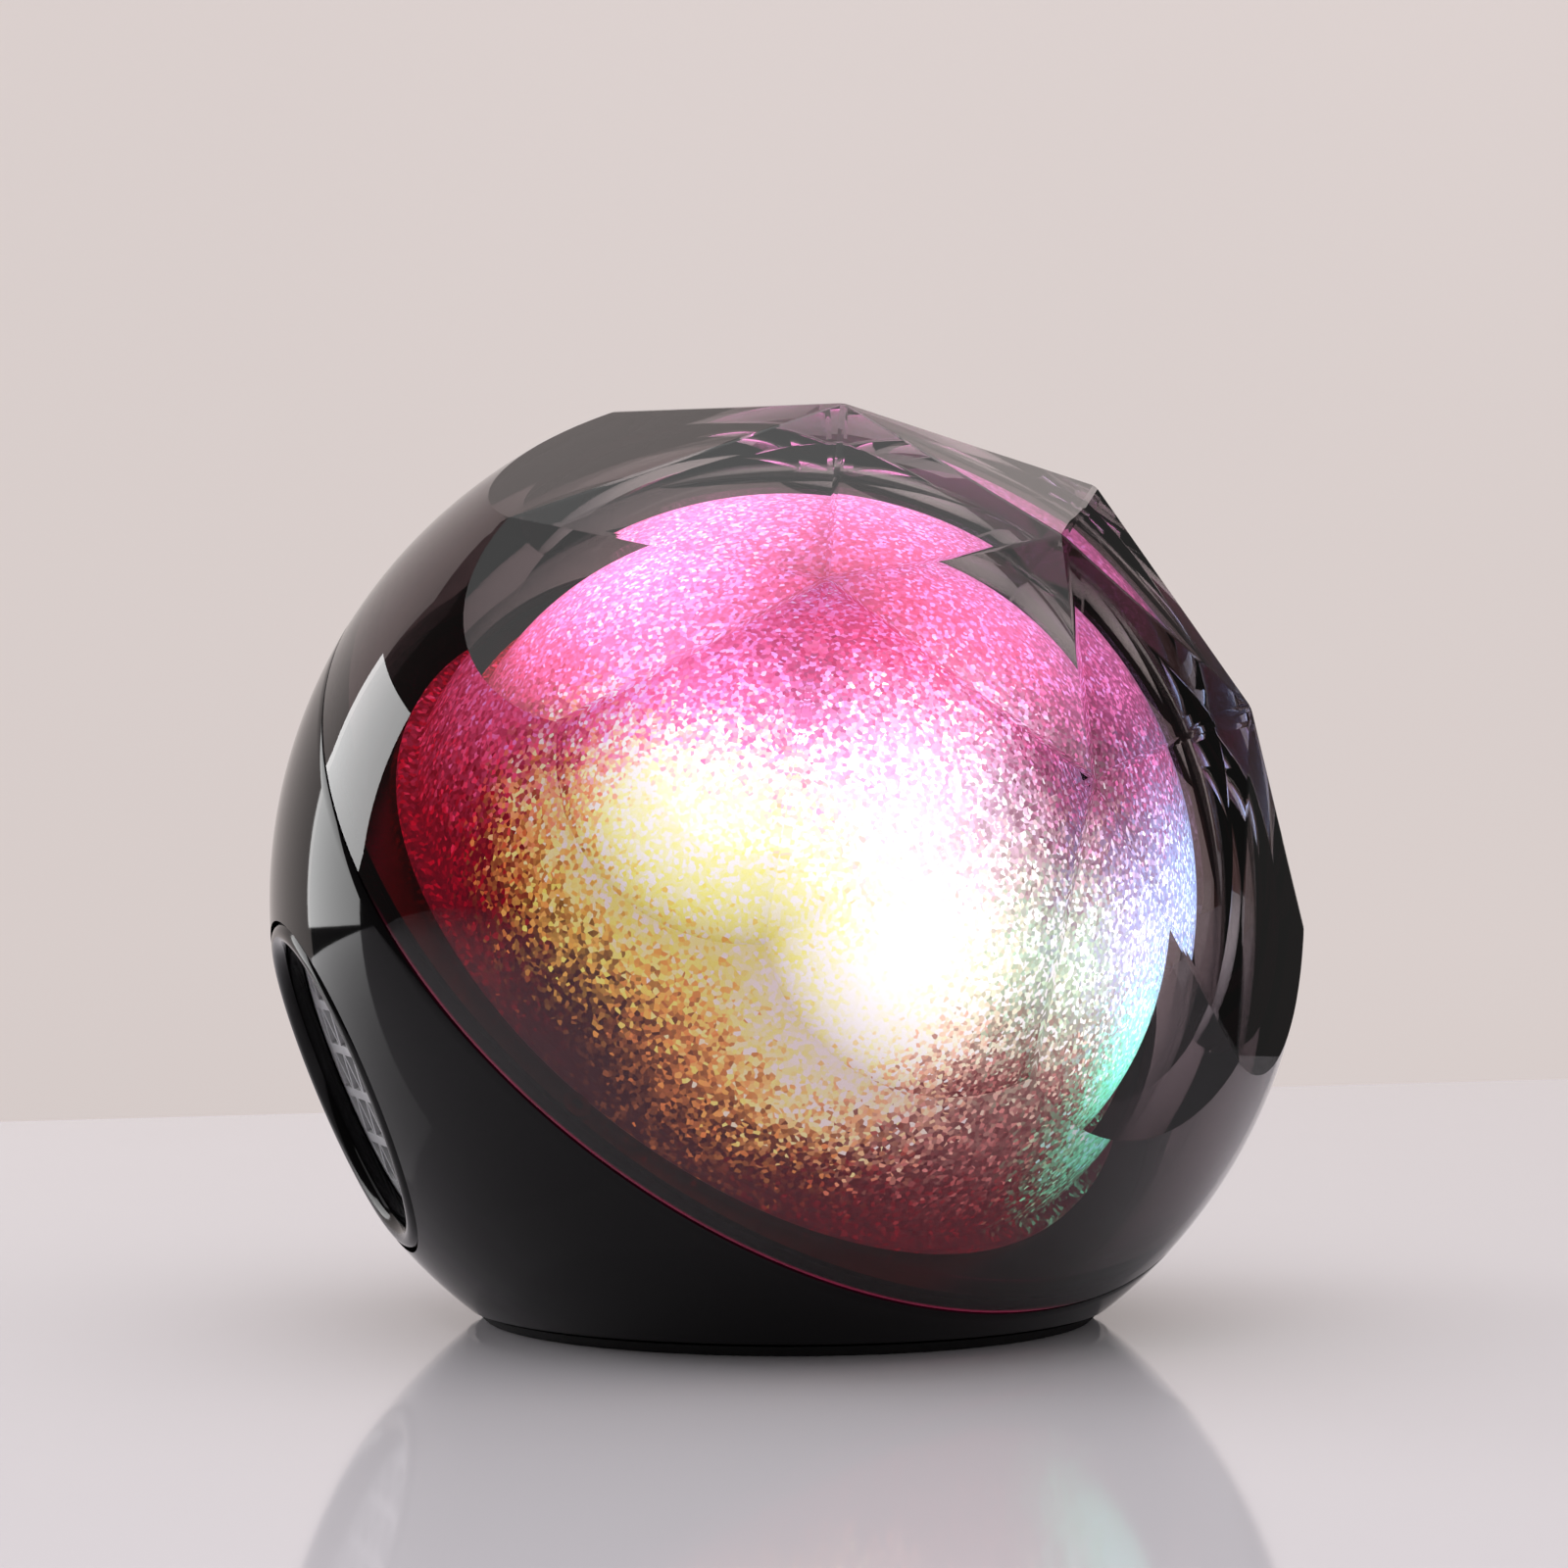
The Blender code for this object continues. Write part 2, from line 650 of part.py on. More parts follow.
def facet_corners():
    """The corners of the facets: the tip, a ring of five and a ring of ten."""
    radius = BALL_RADIUS - FACET_INSET
    tip = Vector((0, 0, radius))
    upper = []
    lower = []
    for step in range(FACET_SIDES):
        angle = TURN / 2 + TURN * step / FACET_SIDES
        for ring_points, polar, turn in (
            (upper, FACET_ANGLE, 0),
            (lower, 2 * FACET_ANGLE, 0),
            (lower, 2 * FACET_ANGLE, TURN / FACET_SIDES / 2),
        ):
            height = radius * math.cos(polar)
            ring_points.append(round_place(radius * math.sin(polar), angle + turn, height))
    return tip, upper, lower


def facet_triangles():
    """The three corners of each facet, from the tip down."""
    tip, upper, lower = facet_corners()
    triangles = []
    for step in range(FACET_SIDES):
        after = (step + 1) % FACET_SIDES
        under = lower[2 * step]
        between = lower[2 * step + 1]
        next_under = lower[2 * after]
        triangles += [
            (tip, upper[step], upper[after]),
            (upper[step], under, between),
            (upper[after], between, next_under),
            (upper[step], between, upper[after]),
        ]
    return triangles


def clear_dome():
    """The smoked clear half of the ball: flat facets outside, round inside, and a tongue in the housing."""
    body = ball(BALL_RADIUS, BALL_SIDES, BALL_RINGS)
    keep_below(body, Vector((0, 0, seam)), Vector((0, 0, -1)))
    for first, second, third in facet_triangles():
        normal = (second - first).cross(third - first).normalized()
        if normal.dot(first) < 0:
            normal.negate()
        keep_below(body, first, normal)
    dome = piece("clear_dome", body, SMOKED_CLEAR, dome_line)
    tongue_inner = tongue_radius - TONGUE_WALL
    tongue = ring(tongue_inner, tongue_radius, tongue_end, seam + TONGUE_DEPTH, BALL_SIDES)
    combine(dome, "UNION", tool("tongue", tongue, dome_line))
    inside = ball(dome_bore, CORE_SIDES, CORE_RINGS)
    combine(dome, "DIFFERENCE", tool("dome_hollow", inside, dome_line))


def glitter_dome():
    """The thin inner dome that the lamps light up, on its flange."""
    low = mid_top + CLEARANCE
    flange_high = low + GLITTER_WALL
    flange_radius = glitter_radius + GLITTER_FLANGE
    inner = glitter_radius - GLITTER_WALL
    profile = arc(inner, TURN / 4, 0, GLITTER_STEPS)
    profile += [(inner, low), (flange_radius, low)]
    profile += [(flange_radius, flange_high), (glitter_radius, flange_high)]
    profile += arc(glitter_radius, 0, TURN / 4, GLITTER_STEPS)
    piece("glitter_dome", turned(profile, GLITTER_SIDES), GLITTER, dome_line)


def mid_plate():
    """The plate that closes the housing and carries the lamps and the inner dome."""
    body = ring(WIRE_HOLE_RADIUS, mid_plate_radius, mid_bottom, mid_top, MID_PLATE_SIDES)
    plate = piece("mid_plate", body, BLACK_SATIN, dome_line)
    pegs = drum(PEG_RADIUS, mid_top - MID_PLATE_THICKNESS / 2, mid_top + PEG_HEIGHT, SMALL_SIDES)
    pegs = copies(pegs, evenly_round(led_board_radius - PEG_INSET, MID_SCREWS))
    holes = drum(small_screw_hole, mid_bottom - OVERRUN, mid_top + OVERRUN, SMALL_SIDES)
    combine(plate, "UNION", tool("pegs", pegs, dome_line))
    combine(plate, "DIFFERENCE", tool("mid_holes", copies(holes, lug_places), dome_line))
    for step, place in enumerate(lug_places):
        place = place + Vector((0, 0, mid_top + CLEARANCE + SMALL_HEAD_HEIGHT))
        small_screw(f"mid_plate_screw_{step + 1}", dome_line, place, TURN / 2)


def lamps():
    """The round lamp board with its coloured lamps, and the white dish round it."""
    low = mid_top + PEG_HEIGHT + CLEARANCE
    high = low + LED_BOARD_THICKNESS
    board = drum(led_board_radius, low, high, GLITTER_SIDES)
    piece("led_board", board, WHITE_PLASTIC, dome_line)
    places = [Vector((0, 0, 0))] + evenly_round(led_circle_radius, len(LED_COLOURS) - 1, LED_CIRCLE_START)
    for (name, colour), place in zip(LED_COLOURS.items(), places):
        body = stepped_block(LED_WIDTH, LED_WIDTH, LED_HEIGHT, LED_LENS_INSET, LED_LENS_RISE)
        place.z = high + CLEARANCE
        piece(name, body, finish(name, colour, 0.2), dome_line, place)
    low = mid_top + CLEARANCE
    high = low + DISH_RISE
    edge = reach((glitter_radius - GLITTER_WALL) * math.cos(math.pi / GLITTER_SIDES), high) - 2 * CLEARANCE
    profile = (
        (dish_hole_radius, low),
        (dish_flat_radius, low),
        (edge, high - DISH_THICKNESS),
        (edge, high),
        (dish_flat_radius, low + DISH_THICKNESS),
        (dish_hole_radius, low + DISH_THICKNESS),
    )
    piece("reflector_dish", turned(profile, GLITTER_SIDES), WHITE_PLASTIC, dome_line)


def base():
    """The rubber foot pad, the plate above it and the screws that hold the plate."""
    top_radius = reach(BALL_RADIUS, centre_height - PAD_THICKNESS) - CLEARANCE
    pad = turned(((0, 0), (pad_radius, 0), (top_radius, PAD_THICKNESS), (0, PAD_THICKNESS)), PAD_SIDES)
    piece("foot_pad", pad, RUBBER)
    plate = drum(base_plate_radius, housing_bottom, base_plate_top, PAD_SIDES)
    plate = piece("base_plate", plate, BLACK_SATIN)
    head_low = housing_bottom + CLEARANCE
    head_radius = LARGE_HEAD_RADIUS + CLEARANCE
    sink_top = head_low + LARGE_HEAD_HEIGHT + CLEARANCE
    hole_top = base_plate_top + OVERRUN
    sink = (
        (0, -OVERRUN),
        (head_radius, -OVERRUN),
        (head_radius, sink_top),
        (large_screw_hole, sink_top),
        (large_screw_hole, hole_top),
        (0, hole_top),
    )
    sinks = copies(turned(sink, SMALL_SIDES), base_screw_places)
    combine(plate, "DIFFERENCE", tool("screw_sinks", sinks))
    head = (LARGE_HEAD_RADIUS, LARGE_HEAD_HEIGHT)
    for step, place in enumerate(base_screw_places):
        place = place + Vector((0, 0, head_low))
        screw(f"base_screw_{step + 1}", head, (LARGE_SHANK_RADIUS, LARGE_SHANK_LENGTH), None, place)


def battery():
    """The cell and the trough that it lies in, across the housing's floor."""
    trough_radius = cell_radius + CLEARANCE + TROUGH_WALL
    trough_low = floor_top + CLEARANCE
    cell_height = trough_low + trough_radius
    line = frame("cell_line", None, (0, -CELL_FORWARD_SHARE * BALL_RADIUS, cell_height), (0, TURN / 4, 0))
    half = cell_length / 2
    profile = (
        (0, -half),
        (cell_radius, -half),
        (cell_radius, half),
        (CELL_TIP_RADIUS, half),
        (CELL_TIP_RADIUS, half + CELL_TIP_LENGTH),
        (0, half + CELL_TIP_LENGTH),
    )
    piece("battery", turned(profile, CELL_SIDES), CELL_WRAP, line)
    low = -half - CLEARANCE
    high = half + CELL_TIP_LENGTH + CLEARANCE
    body = drum(trough_radius, low - TROUGH_WALL, high + TROUGH_WALL, CELL_SIDES)
    trough = piece("battery_tray", body, BLACK_SATIN, line)
    foot_low = trough_low - cell_height
    foot = rectangle(cell_length - 2 * TROUGH_FOOT_INSET, TROUGH_FOOT_SHARE * 2 * cell_radius)
    foot = prism([foot], foot_low, foot_low + TROUGH_FOOT_HEIGHT)
    combine(trough, "UNION", tool("tray_foot", foot, line, (0, 0, 0), (0, -TURN / 4, 0)))
    bed = drum(cell_radius + CLEARANCE, low, high, CELL_SIDES)
    combine(trough, "DIFFERENCE", tool("cell_bed", bed, line))
    above = prism([rectangle(2 * cell_length, 2 * cell_length)], 0, cell_length)
    combine(trough, "DIFFERENCE", tool("tray_mouth", above, line, (0, 0, 0), (0, -TURN / 4, 0)))


def grille_holes():
    """The outlines of a grille's openings: rows of triangles that point up and down in turn."""
    reach_out = grille_radius - GRILLE_BORDER
    half_height = (row_pitch - GRILLE_BAR_WIDTH) / 2
    half_base = zigzag_pitch / 2 - GRILLE_STROKE_WIDTH
    rows = math.ceil(reach_out / row_pitch)
    columns = math.ceil(2 * reach_out / zigzag_pitch)
    outlines = []
    for row in range(-rows, rows + 1):
        for column in range(-columns, columns + 1):
            across = column * zigzag_pitch / 2
            up = row * row_pitch
            if math.hypot(across, abs(up) - half_height) > reach_out - GRILLE_STROKE_WIDTH:
                continue
            point = half_height if (row + column) % 2 else -half_height
            base = [(across - half_base, up - point), (across + half_base, up - point)]
            corners = [*base, (across, up + point)]
            outlines.append(corners if point > 0 else corners[::-1])
    return outlines


def grille(side, line):
    """The raised rim round a loudspeaker and the flat grille behind it."""
    crown_radius = (rim_radius - rim_opening_radius) / 2
    crown = (rim_radius - crown_radius, side_cap + RIM_CROWN - crown_radius)
    rim = arc(crown_radius, 0, TURN / 2, ROLL_STEPS, crown)
    pocket_radius = grille_radius + CLEARANCE
    rim += [
        (rim_opening_radius, grille_top + CLEARANCE),
        (pocket_radius, grille_top + CLEARANCE),
        (pocket_radius, seat_face + CLEARANCE),
        (rim_radius, seat_face + CLEARANCE),
    ]
    piece(f"{side}_grille_rim", turned(rim, SIDE_SIDES), BLACK_GLOSS, line)

    plate = drum(grille_radius, grille_bottom, grille_top, SIDE_SIDES)
    plate = piece(f"{side}_grille", plate, BLACK_SATIN, line)
    low = grille_bottom - OVERRUN
    high = grille_top + OVERRUN
    holes = tool(f"{side}_grille_holes", prism(grille_holes(), low, high), line)
    border = drum(grille_radius - GRILLE_BORDER, low - OVERRUN, high + OVERRUN, SIDE_SIDES)
    combine(holes, "INTERSECT", tool(f"{side}_grille_border", border, line))
    combine(plate, "DIFFERENCE", holes)


def magnet_and_basket(side, line):
    """The loudspeaker's steel basket, with the magnet between its two steel plates behind it."""
    neck_top = basket_bottom + BASKET_WALL
    shoulder = basket_lip_radius + BASKET_WALL
    basket = (
        (basket_lip_radius, flange_top),
        (basket_lip_radius, flange_bottom),
        (basket_neck_radius, neck_top),
        (gap_radius + BASKET_WALL, neck_top),
        (gap_radius + BASKET_WALL, basket_bottom),
        (basket_neck_radius + BASKET_WALL, basket_bottom),
        (shoulder, flange_bottom),
        (basket_radius, flange_bottom),
        (basket_radius, flange_top),
    )
    basket = piece(f"{side}_speaker_basket", turned(basket, DRIVER_SIDES), STEEL, line)
    middle = (flange_bottom + neck_top) / 2
    half = window_height / 2
    wide = 2 * basket_radius
    for width, height in ((wide, window_width), (window_width, wide)):
        window = prism([rectangle(width, height)], middle - half, middle + half)
        combine(basket, "DIFFERENCE", tool(f"{side}_windows", window, line))

    washer = ring(gap_radius, washer_radius, washer_bottom, washer_top, DRIVER_SIDES)
    piece(f"{side}_top_plate", washer, STEEL, line)
    magnet = ring(gap_radius + CLEARANCE, magnet_radius, magnet_bottom, magnet_top, DRIVER_SIDES)
    piece(f"{side}_magnet", magnet, FERRITE, line)
    yoke = (
        (0, yoke_top - YOKE_THICKNESS),
        (washer_radius, yoke_top - YOKE_THICKNESS),
        (washer_radius, yoke_top),
        (pole_radius, yoke_top),
        (pole_radius, washer_top),
        (0, washer_top),
    )
    piece(f"{side}_yoke", turned(yoke, DRIVER_SIDES), STEEL, line)


def cone(side, line):
    """The cone with its dust cap, and the voice coil under it, on an empty that lies on their stroke."""
    mover = frame(f"{side}_cone_line", line, (0, 0, cone_neck))
    bottom = coil_top - coil_length - cone_neck
    coil = ring(coil_radius - COIL_WALL, coil_radius, bottom, coil_top - cone_neck, DRIVER_SIDES)
    piece(f"{side}_voice_coil", coil, COPPER, mover)
    slope = (cone_depth - CONE_WALL) / (cone_radius - coil_radius)
    cap_low = CONE_WALL + slope * (cap_radius - coil_radius)
    cap_turn = 2 * math.atan(CAP_RISE / cap_radius)
    cap_ball = cap_radius / math.sin(cap_turn)
    cap_centre = (0, cap_low + CAP_RISE - cap_ball)
    start = TURN / 4
    cap = arc(cap_ball, start, start - cap_turn, CAP_STEPS, cap_centre)[1:]
    under = arc(cap_ball - CONE_WALL, start - cap_turn, start, CAP_STEPS, cap_centre)[1:-1]
    profile = [(0, cap_low + CAP_RISE)]
    profile += cap
    profile += [(cone_radius, cone_depth), (cone_radius, cone_depth - CONE_WALL), (coil_radius, 0)]
    profile += [(coil_radius - COIL_WALL, 0), (coil_radius - COIL_WALL, CONE_WALL)]
    profile += under
    profile += [(0, cap_low + CAP_RISE - CONE_WALL)]
    piece(f"{side}_cone", turned(profile, DRIVER_SIDES), PAPER, mover)


def surround(side, line):
    """The rolled rubber ring between the cone and the basket."""
    lip_low = flange_top + CLEARANCE
    lip_high = lip_low + SURROUND_WALL
    roll = (basket_lip_radius - cone_radius) / 2 + SURROUND_WALL
    middle = (basket_lip_radius + cone_radius) / 2
    profile = [(middle - roll - SURROUND_LIP, lip_low), (middle - roll - SURROUND_LIP, lip_high)]
    profile += arc(roll, TURN / 2, 0, ROLL_STEPS, (middle, lip_high))
    profile += [(middle + roll + SURROUND_LIP, lip_high), (middle + roll + SURROUND_LIP, lip_low)]
    profile += arc(roll - SURROUND_WALL, 0, TURN / 2, ROLL_STEPS, (middle, lip_low))
    piece(f"{side}_surround", turned(profile, DRIVER_SIDES), SOFT_RUBBER, line)


def block_tool(name, width, height, low, high, across, up):
    """A square cutter through the panel or into a piece behind it."""
    return tool(name, prism([rectangle(width, height)], low, high), panel_line, (across, up, 0))


def control_panel():
    """The panel in its pocket, with its openings and the two posts that hold the circuit board."""
    outline = rounded_outline(panel_width, panel_height, PANEL_CORNER)
    panel = piece("control_panel", prism([outline], panel_back, panel_face), BLACK_SATIN, panel_line)
    below = panel_back - OVERRUN
    above = panel_face + OVERRUN
    posts = copies(drum(POST_RADIUS, on_board, panel_back + PANEL_THICKNESS / 2, SMALL_SIDES), post_places)
    pilots = copies(drum(small_screw_hole, on_board - OVERRUN, panel_back, SMALL_SIDES), post_places)
    button_holes = [Vector((across, BUTTON_ROW, 0)) for across in button_places]
    button_holes = copies(drum(button_radius + CLEARANCE, below, above, BUTTON_SIDES), button_holes)
    combine(panel, "UNION", tool("posts", posts, panel_line))
    combine(panel, "DIFFERENCE", tool("pilots", pilots, panel_line))
    combine(panel, "DIFFERENCE", tool("button_holes", button_holes, panel_line))
    gap = 2 * CLEARANCE
    cuts = (
        block_tool("usb_hole", USB_WIDTH + gap, USB_HEIGHT + gap, below, above, -usb_place, -SOCKET_ROW),
        block_tool("slot", slot_width, slot_height, below, above, switch_place, -SOCKET_ROW),
        tool(
            "aux_hole",
            drum(AUX_BARREL_RADIUS + CLEARANCE, below, above, BUTTON_SIDES),
            panel_line,
            (aux_place, -SOCKET_ROW, 0),
        ),
        tool(
            "lens_hole",
            drum(LENS_RADIUS + CLEARANCE, below, above, SMALL_SIDES),
            panel_line,
            (lens_place, 0, 0),
        ),
    )
    combine(panel, "DIFFERENCE", *cuts)


def circuit_board():
    """The board behind the panel, with its screws and what is soldered to it."""
    outline = rounded_outline(board_width, board_height, PANEL_CORNER)
    board = piece("main_board", prism([outline], board_back, board_face), GREEN_BOARD, panel_line)
    holes = drum(small_screw_hole, board_back - OVERRUN, board_face + OVERRUN, SMALL_SIDES)
    holes = copies(holes, post_places)
    combine(board, "DIFFERENCE", tool("board_holes", holes, panel_line))
    for step, place in enumerate(post_places):
        place = place + Vector((0, 0, board_back - CLEARANCE - SMALL_HEAD_HEIGHT))
        small_screw(f"board_screw_{step + 1}", panel_line, place)
    for step, across in enumerate(button_places):
        body = stepped_block(TACT_WIDTH, TACT_WIDTH, TACT_HEIGHT, TACT_PLUNGER_INSET, TACT_PLUNGER_RISE)
        place = (across, BUTTON_ROW, on_board)
        piece(f"tact_switch_{step + 1}", body, BLACK_SATIN, panel_line, place)

    usb_front = panel_face - USB_SINK
    usb = prism([rectangle(USB_WIDTH, USB_HEIGHT)], on_board, usb_front)
    usb = piece("usb_socket", usb, STEEL, panel_line, (-usb_place, -SOCKET_ROW, 0))
    wall = 2 * USB_WALL
    slot_low = usb_front - USB_DEPTH
    usb_slot = (USB_WIDTH - wall, USB_HEIGHT - wall, slot_low, usb_front + OVERRUN, -usb_place, -SOCKET_ROW)
    combine(usb, "DIFFERENCE", block_tool("usb_slot", *usb_slot))

    body_top = panel_back - CLEARANCE
    aux = prism([rectangle(AUX_BODY_WIDTH, AUX_BODY_WIDTH)], on_board, body_top)
    aux = piece("aux_socket", aux, BLACK_SATIN, panel_line, (aux_place, -SOCKET_ROW, 0))
    barrel = drum(AUX_BARREL_RADIUS, body_top - AUX_BARREL_RADIUS, panel_face, BUTTON_SIDES)
    bore = drum(AUX_BORE_RADIUS, panel_face - AUX_BORE_DEPTH, panel_face + OVERRUN, BUTTON_SIDES)
    place = (aux_place, -SOCKET_ROW, 0)
    combine(aux, "UNION", tool("aux_barrel", barrel, panel_line, place))
    combine(aux, "DIFFERENCE", tool("aux_bore", bore, panel_line, place))

    switch_top = on_board + SWITCH_DEPTH
    switch = prism([rectangle(SWITCH_WIDTH, SWITCH_HEIGHT)], on_board, switch_top)
    switch = piece("power_switch", switch, STEEL, panel_line, (switch_place, -SOCKET_ROW, 0))
    slider_low = switch_top - SLIDER_ROOT
    slot_low = slider_low - CLEARANCE
    slot = (slot_width, slot_height, slot_low, switch_top + OVERRUN, switch_place, -SOCKET_ROW)
    combine(switch, "DIFFERENCE", block_tool("switch_slot", *slot))
    knob = prism([rectangle(SLIDER_WIDTH, SLIDER_HEIGHT)], 0, panel_face + SLIDER_PROUD - slider_low)
    place = (switch_place - SLIDER_TRAVEL / 2, -SOCKET_ROW, slider_low)
    piece("power_slider", knob, BLACK_SATIN, panel_line, place)

    lens = drum(LENS_RADIUS, panel_face - LENS_LENGTH, panel_face, SMALL_SIDES)
    piece("status_lens", lens, WHITE_PLASTIC, panel_line, (lens_place, 0, 0))
    module = stepped_block(MODULE_WIDTH, MODULE_HEIGHT, MODULE_THICKNESS, MODULE_CAN_INSET, MODULE_CAN_RISE)
    place = (0, 0, board_back - CLEARANCE)
    piece("bluetooth_module", module, STEEL, panel_line, place, (TURN / 2, 0, 0))


def buttons():
    """The four push buttons, each with its origin on its line at the panel's face."""
    flange_radius = button_radius + BUTTON_FLANGE
    flange_high = panel_back - CLEARANCE
    flange_low = flange_high - BUTTON_FLANGE
    stem_low = tact_top + BUTTON_TRAVEL + CLEARANCE
    profile = (
        (0, stem_low),
        (BUTTON_STEM_RADIUS, stem_low),
        (BUTTON_STEM_RADIUS, flange_low),
        (flange_radius, flange_low),
        (flange_radius, flange_high),
        (button_radius, flange_high),
        (button_radius, panel_face + BUTTON_PROUD - BUTTON_ROUND),
        (button_radius - BUTTON_ROUND, panel_face + BUTTON_PROUD),
        (0, panel_face + BUTTON_PROUD),
    )
    profile = [(radius, height - panel_face) for radius, height in profile]
    for name, across in zip(BUTTON_NAMES, button_places):
        place = (across, BUTTON_ROW, panel_face)
        piece(name, turned(profile, BUTTON_SIDES), BLACK_SATIN, panel_line, place)


rear_housing()
clear_dome()
glitter_dome()
mid_plate()
lamps()
base()
battery()
for side, line in (("left", left_line), ("right", right_line)):
    grille(side, line)
    magnet_and_basket(side, line)
    cone(side, line)
    surround(side, line)
control_panel()
circuit_board()
buttons()
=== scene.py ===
"""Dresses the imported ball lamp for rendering: its shells, glitter, grilles, controls and stage.

Lengths are in metres, angles in radians unless a name or comment says degrees. +Z is up and the
front faces -Y. Each new piece is modelled about its own Z line, and is then carried to its place.
"""

from math import cos, hypot, pi, radians, sin, sqrt

import bmesh
import bpy
from bpy.types import Operator, Panel, PropertyGroup
from mathutils import Euler, Matrix, Vector


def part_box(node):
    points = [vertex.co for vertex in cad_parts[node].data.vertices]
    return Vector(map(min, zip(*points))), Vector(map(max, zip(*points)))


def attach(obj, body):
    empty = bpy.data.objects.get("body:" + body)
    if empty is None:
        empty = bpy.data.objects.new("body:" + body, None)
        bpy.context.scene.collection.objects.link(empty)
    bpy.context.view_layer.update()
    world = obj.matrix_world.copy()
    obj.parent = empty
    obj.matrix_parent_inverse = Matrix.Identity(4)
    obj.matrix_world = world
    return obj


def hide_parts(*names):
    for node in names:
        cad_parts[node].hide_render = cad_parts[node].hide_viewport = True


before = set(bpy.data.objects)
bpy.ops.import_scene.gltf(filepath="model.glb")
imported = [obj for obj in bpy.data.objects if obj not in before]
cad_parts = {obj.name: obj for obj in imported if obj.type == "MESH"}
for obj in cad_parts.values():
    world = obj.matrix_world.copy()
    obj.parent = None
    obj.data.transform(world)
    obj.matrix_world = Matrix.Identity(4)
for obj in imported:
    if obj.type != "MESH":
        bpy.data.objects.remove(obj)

bl_info = {
    "name": "Ball lamp with loudspeakers",
    "version": (1, 0, 0),
    "blender": (4, 5, 0),
    "location": "3D View > Sidebar > Ball lamp",
    "description": "Builds the detailed pieces, finishes and stage of a faceted ball lamp",
    "category": "Object",
}

TURN = 2 * pi
FINE = 1e-6  # corners nearer than this are one
GAP = 0.0003  # clearance between neighbouring pieces
PAST = 0.006  # how far a cutting tool reaches past what it cuts
HOUSING_LOW, HOUSING_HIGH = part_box("rear_housing")
PAD_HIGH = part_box("foot_pad")[1]
RADIUS = (HOUSING_HIGH.x - HOUSING_LOW.x) / 2
HEIGHT_SHARE = 0.8103  # the centre's height in radii of the ball
SIDES = ("left", "right")

# Where the controls stand across the panel. The power switch's knob rests at one end of its slot.
USB_ACROSS = -0.009
AUX_ACROSS = 0.001
LENS_ACROSS = 0.0052
SLOT_ACROSS = 0.0105
KNOB_ACROSS = 0.0095
POSTS_ACROSS = (-0.0142, 0.0142)
BUTTONS = ("light_button", "previous_button", "play_button", "next_button")

# How much light each facet of the dome lets through, in the order of facets(): a painted shade,
# set facet by facet, makes neighbouring facets a little lighter and darker. The skin between
# them has a painted shade too.
FACET_PAINTED_SHADES = (
    0.78, 0.66, 0.78, 0.72, 0.5, 1.0, 0.6, 0.8, 0.9, 0.62,
    1.0, 0.75, 0.6, 0.9, 0.55, 1.0, 1.0, 0.7, 1.0, 0.7,
)
SKIN_PAINTED_SHADE = 0.74

GRAIN = 0.0005  # width of a grain of glitter
GRAIN_TILT = 0.18  # how far a grain may look aside, as a share of the dome's radius
GLOW_STRENGTH = 2.3
SOFT = {"interpolation_type": "SMOOTHSTEP"}  # how light fades out
# The glows on the inner dome by their colours: the azimuth and polar angle of each in degrees,
# how far it spreads in radii of the dome, and how strong it is in its middle
GLOWS = {
    "#fffdf0": [(235, 62, 0.42, 1.2), (257, 55, 0.61, 0.3), (236, 38, 0.50, 0.4)],  # white
    "#fdd960": [(190, 66, 0.40, 1.3), (202, 60, 0.43, 2.0), (230, 70, 0.34, 1.2)],  # yellow
    "#fea45c": [(224, 61, 0.58, 1.9), (183, 71, 0.25, 0.5)],  # amber
    "#e8052c": [(148, 64, 1.03, 0.75), (185, 13, 0.48, 0.75), (258, 60, 0.92, 0.26)],  # red
    "#ff86cc": [(145, 57, 0.67, 0.9), (106, 34, 1.05, 0.9), (189, 53, 0.48, 1.3)]  # magenta
    + [(323, 12, 0.62, 0.5), (70, 68, 0.70, 0.8)],
    "#e2bcfc": [(222, 34, 0.51, 0.8), (20, 70, 0.60, 0.8)],  # violet
    "#9ec0fb": [(298, 50, 0.54, 1.1), (345, 62, 0.60, 0.9)],  # blue
    "#4ee6b6": [(288, 72, 0.38, 2.0), (260, 52, 0.36, 0.7)],  # green
}
LED_HEX = {
    "white": "#fff6ea",
    "red": "#ff2030",
    "magenta": "#ff30c0",
    "blue": "#3a6cff",
    "green": "#30f090",
    "amber": "#ff9a20",
}

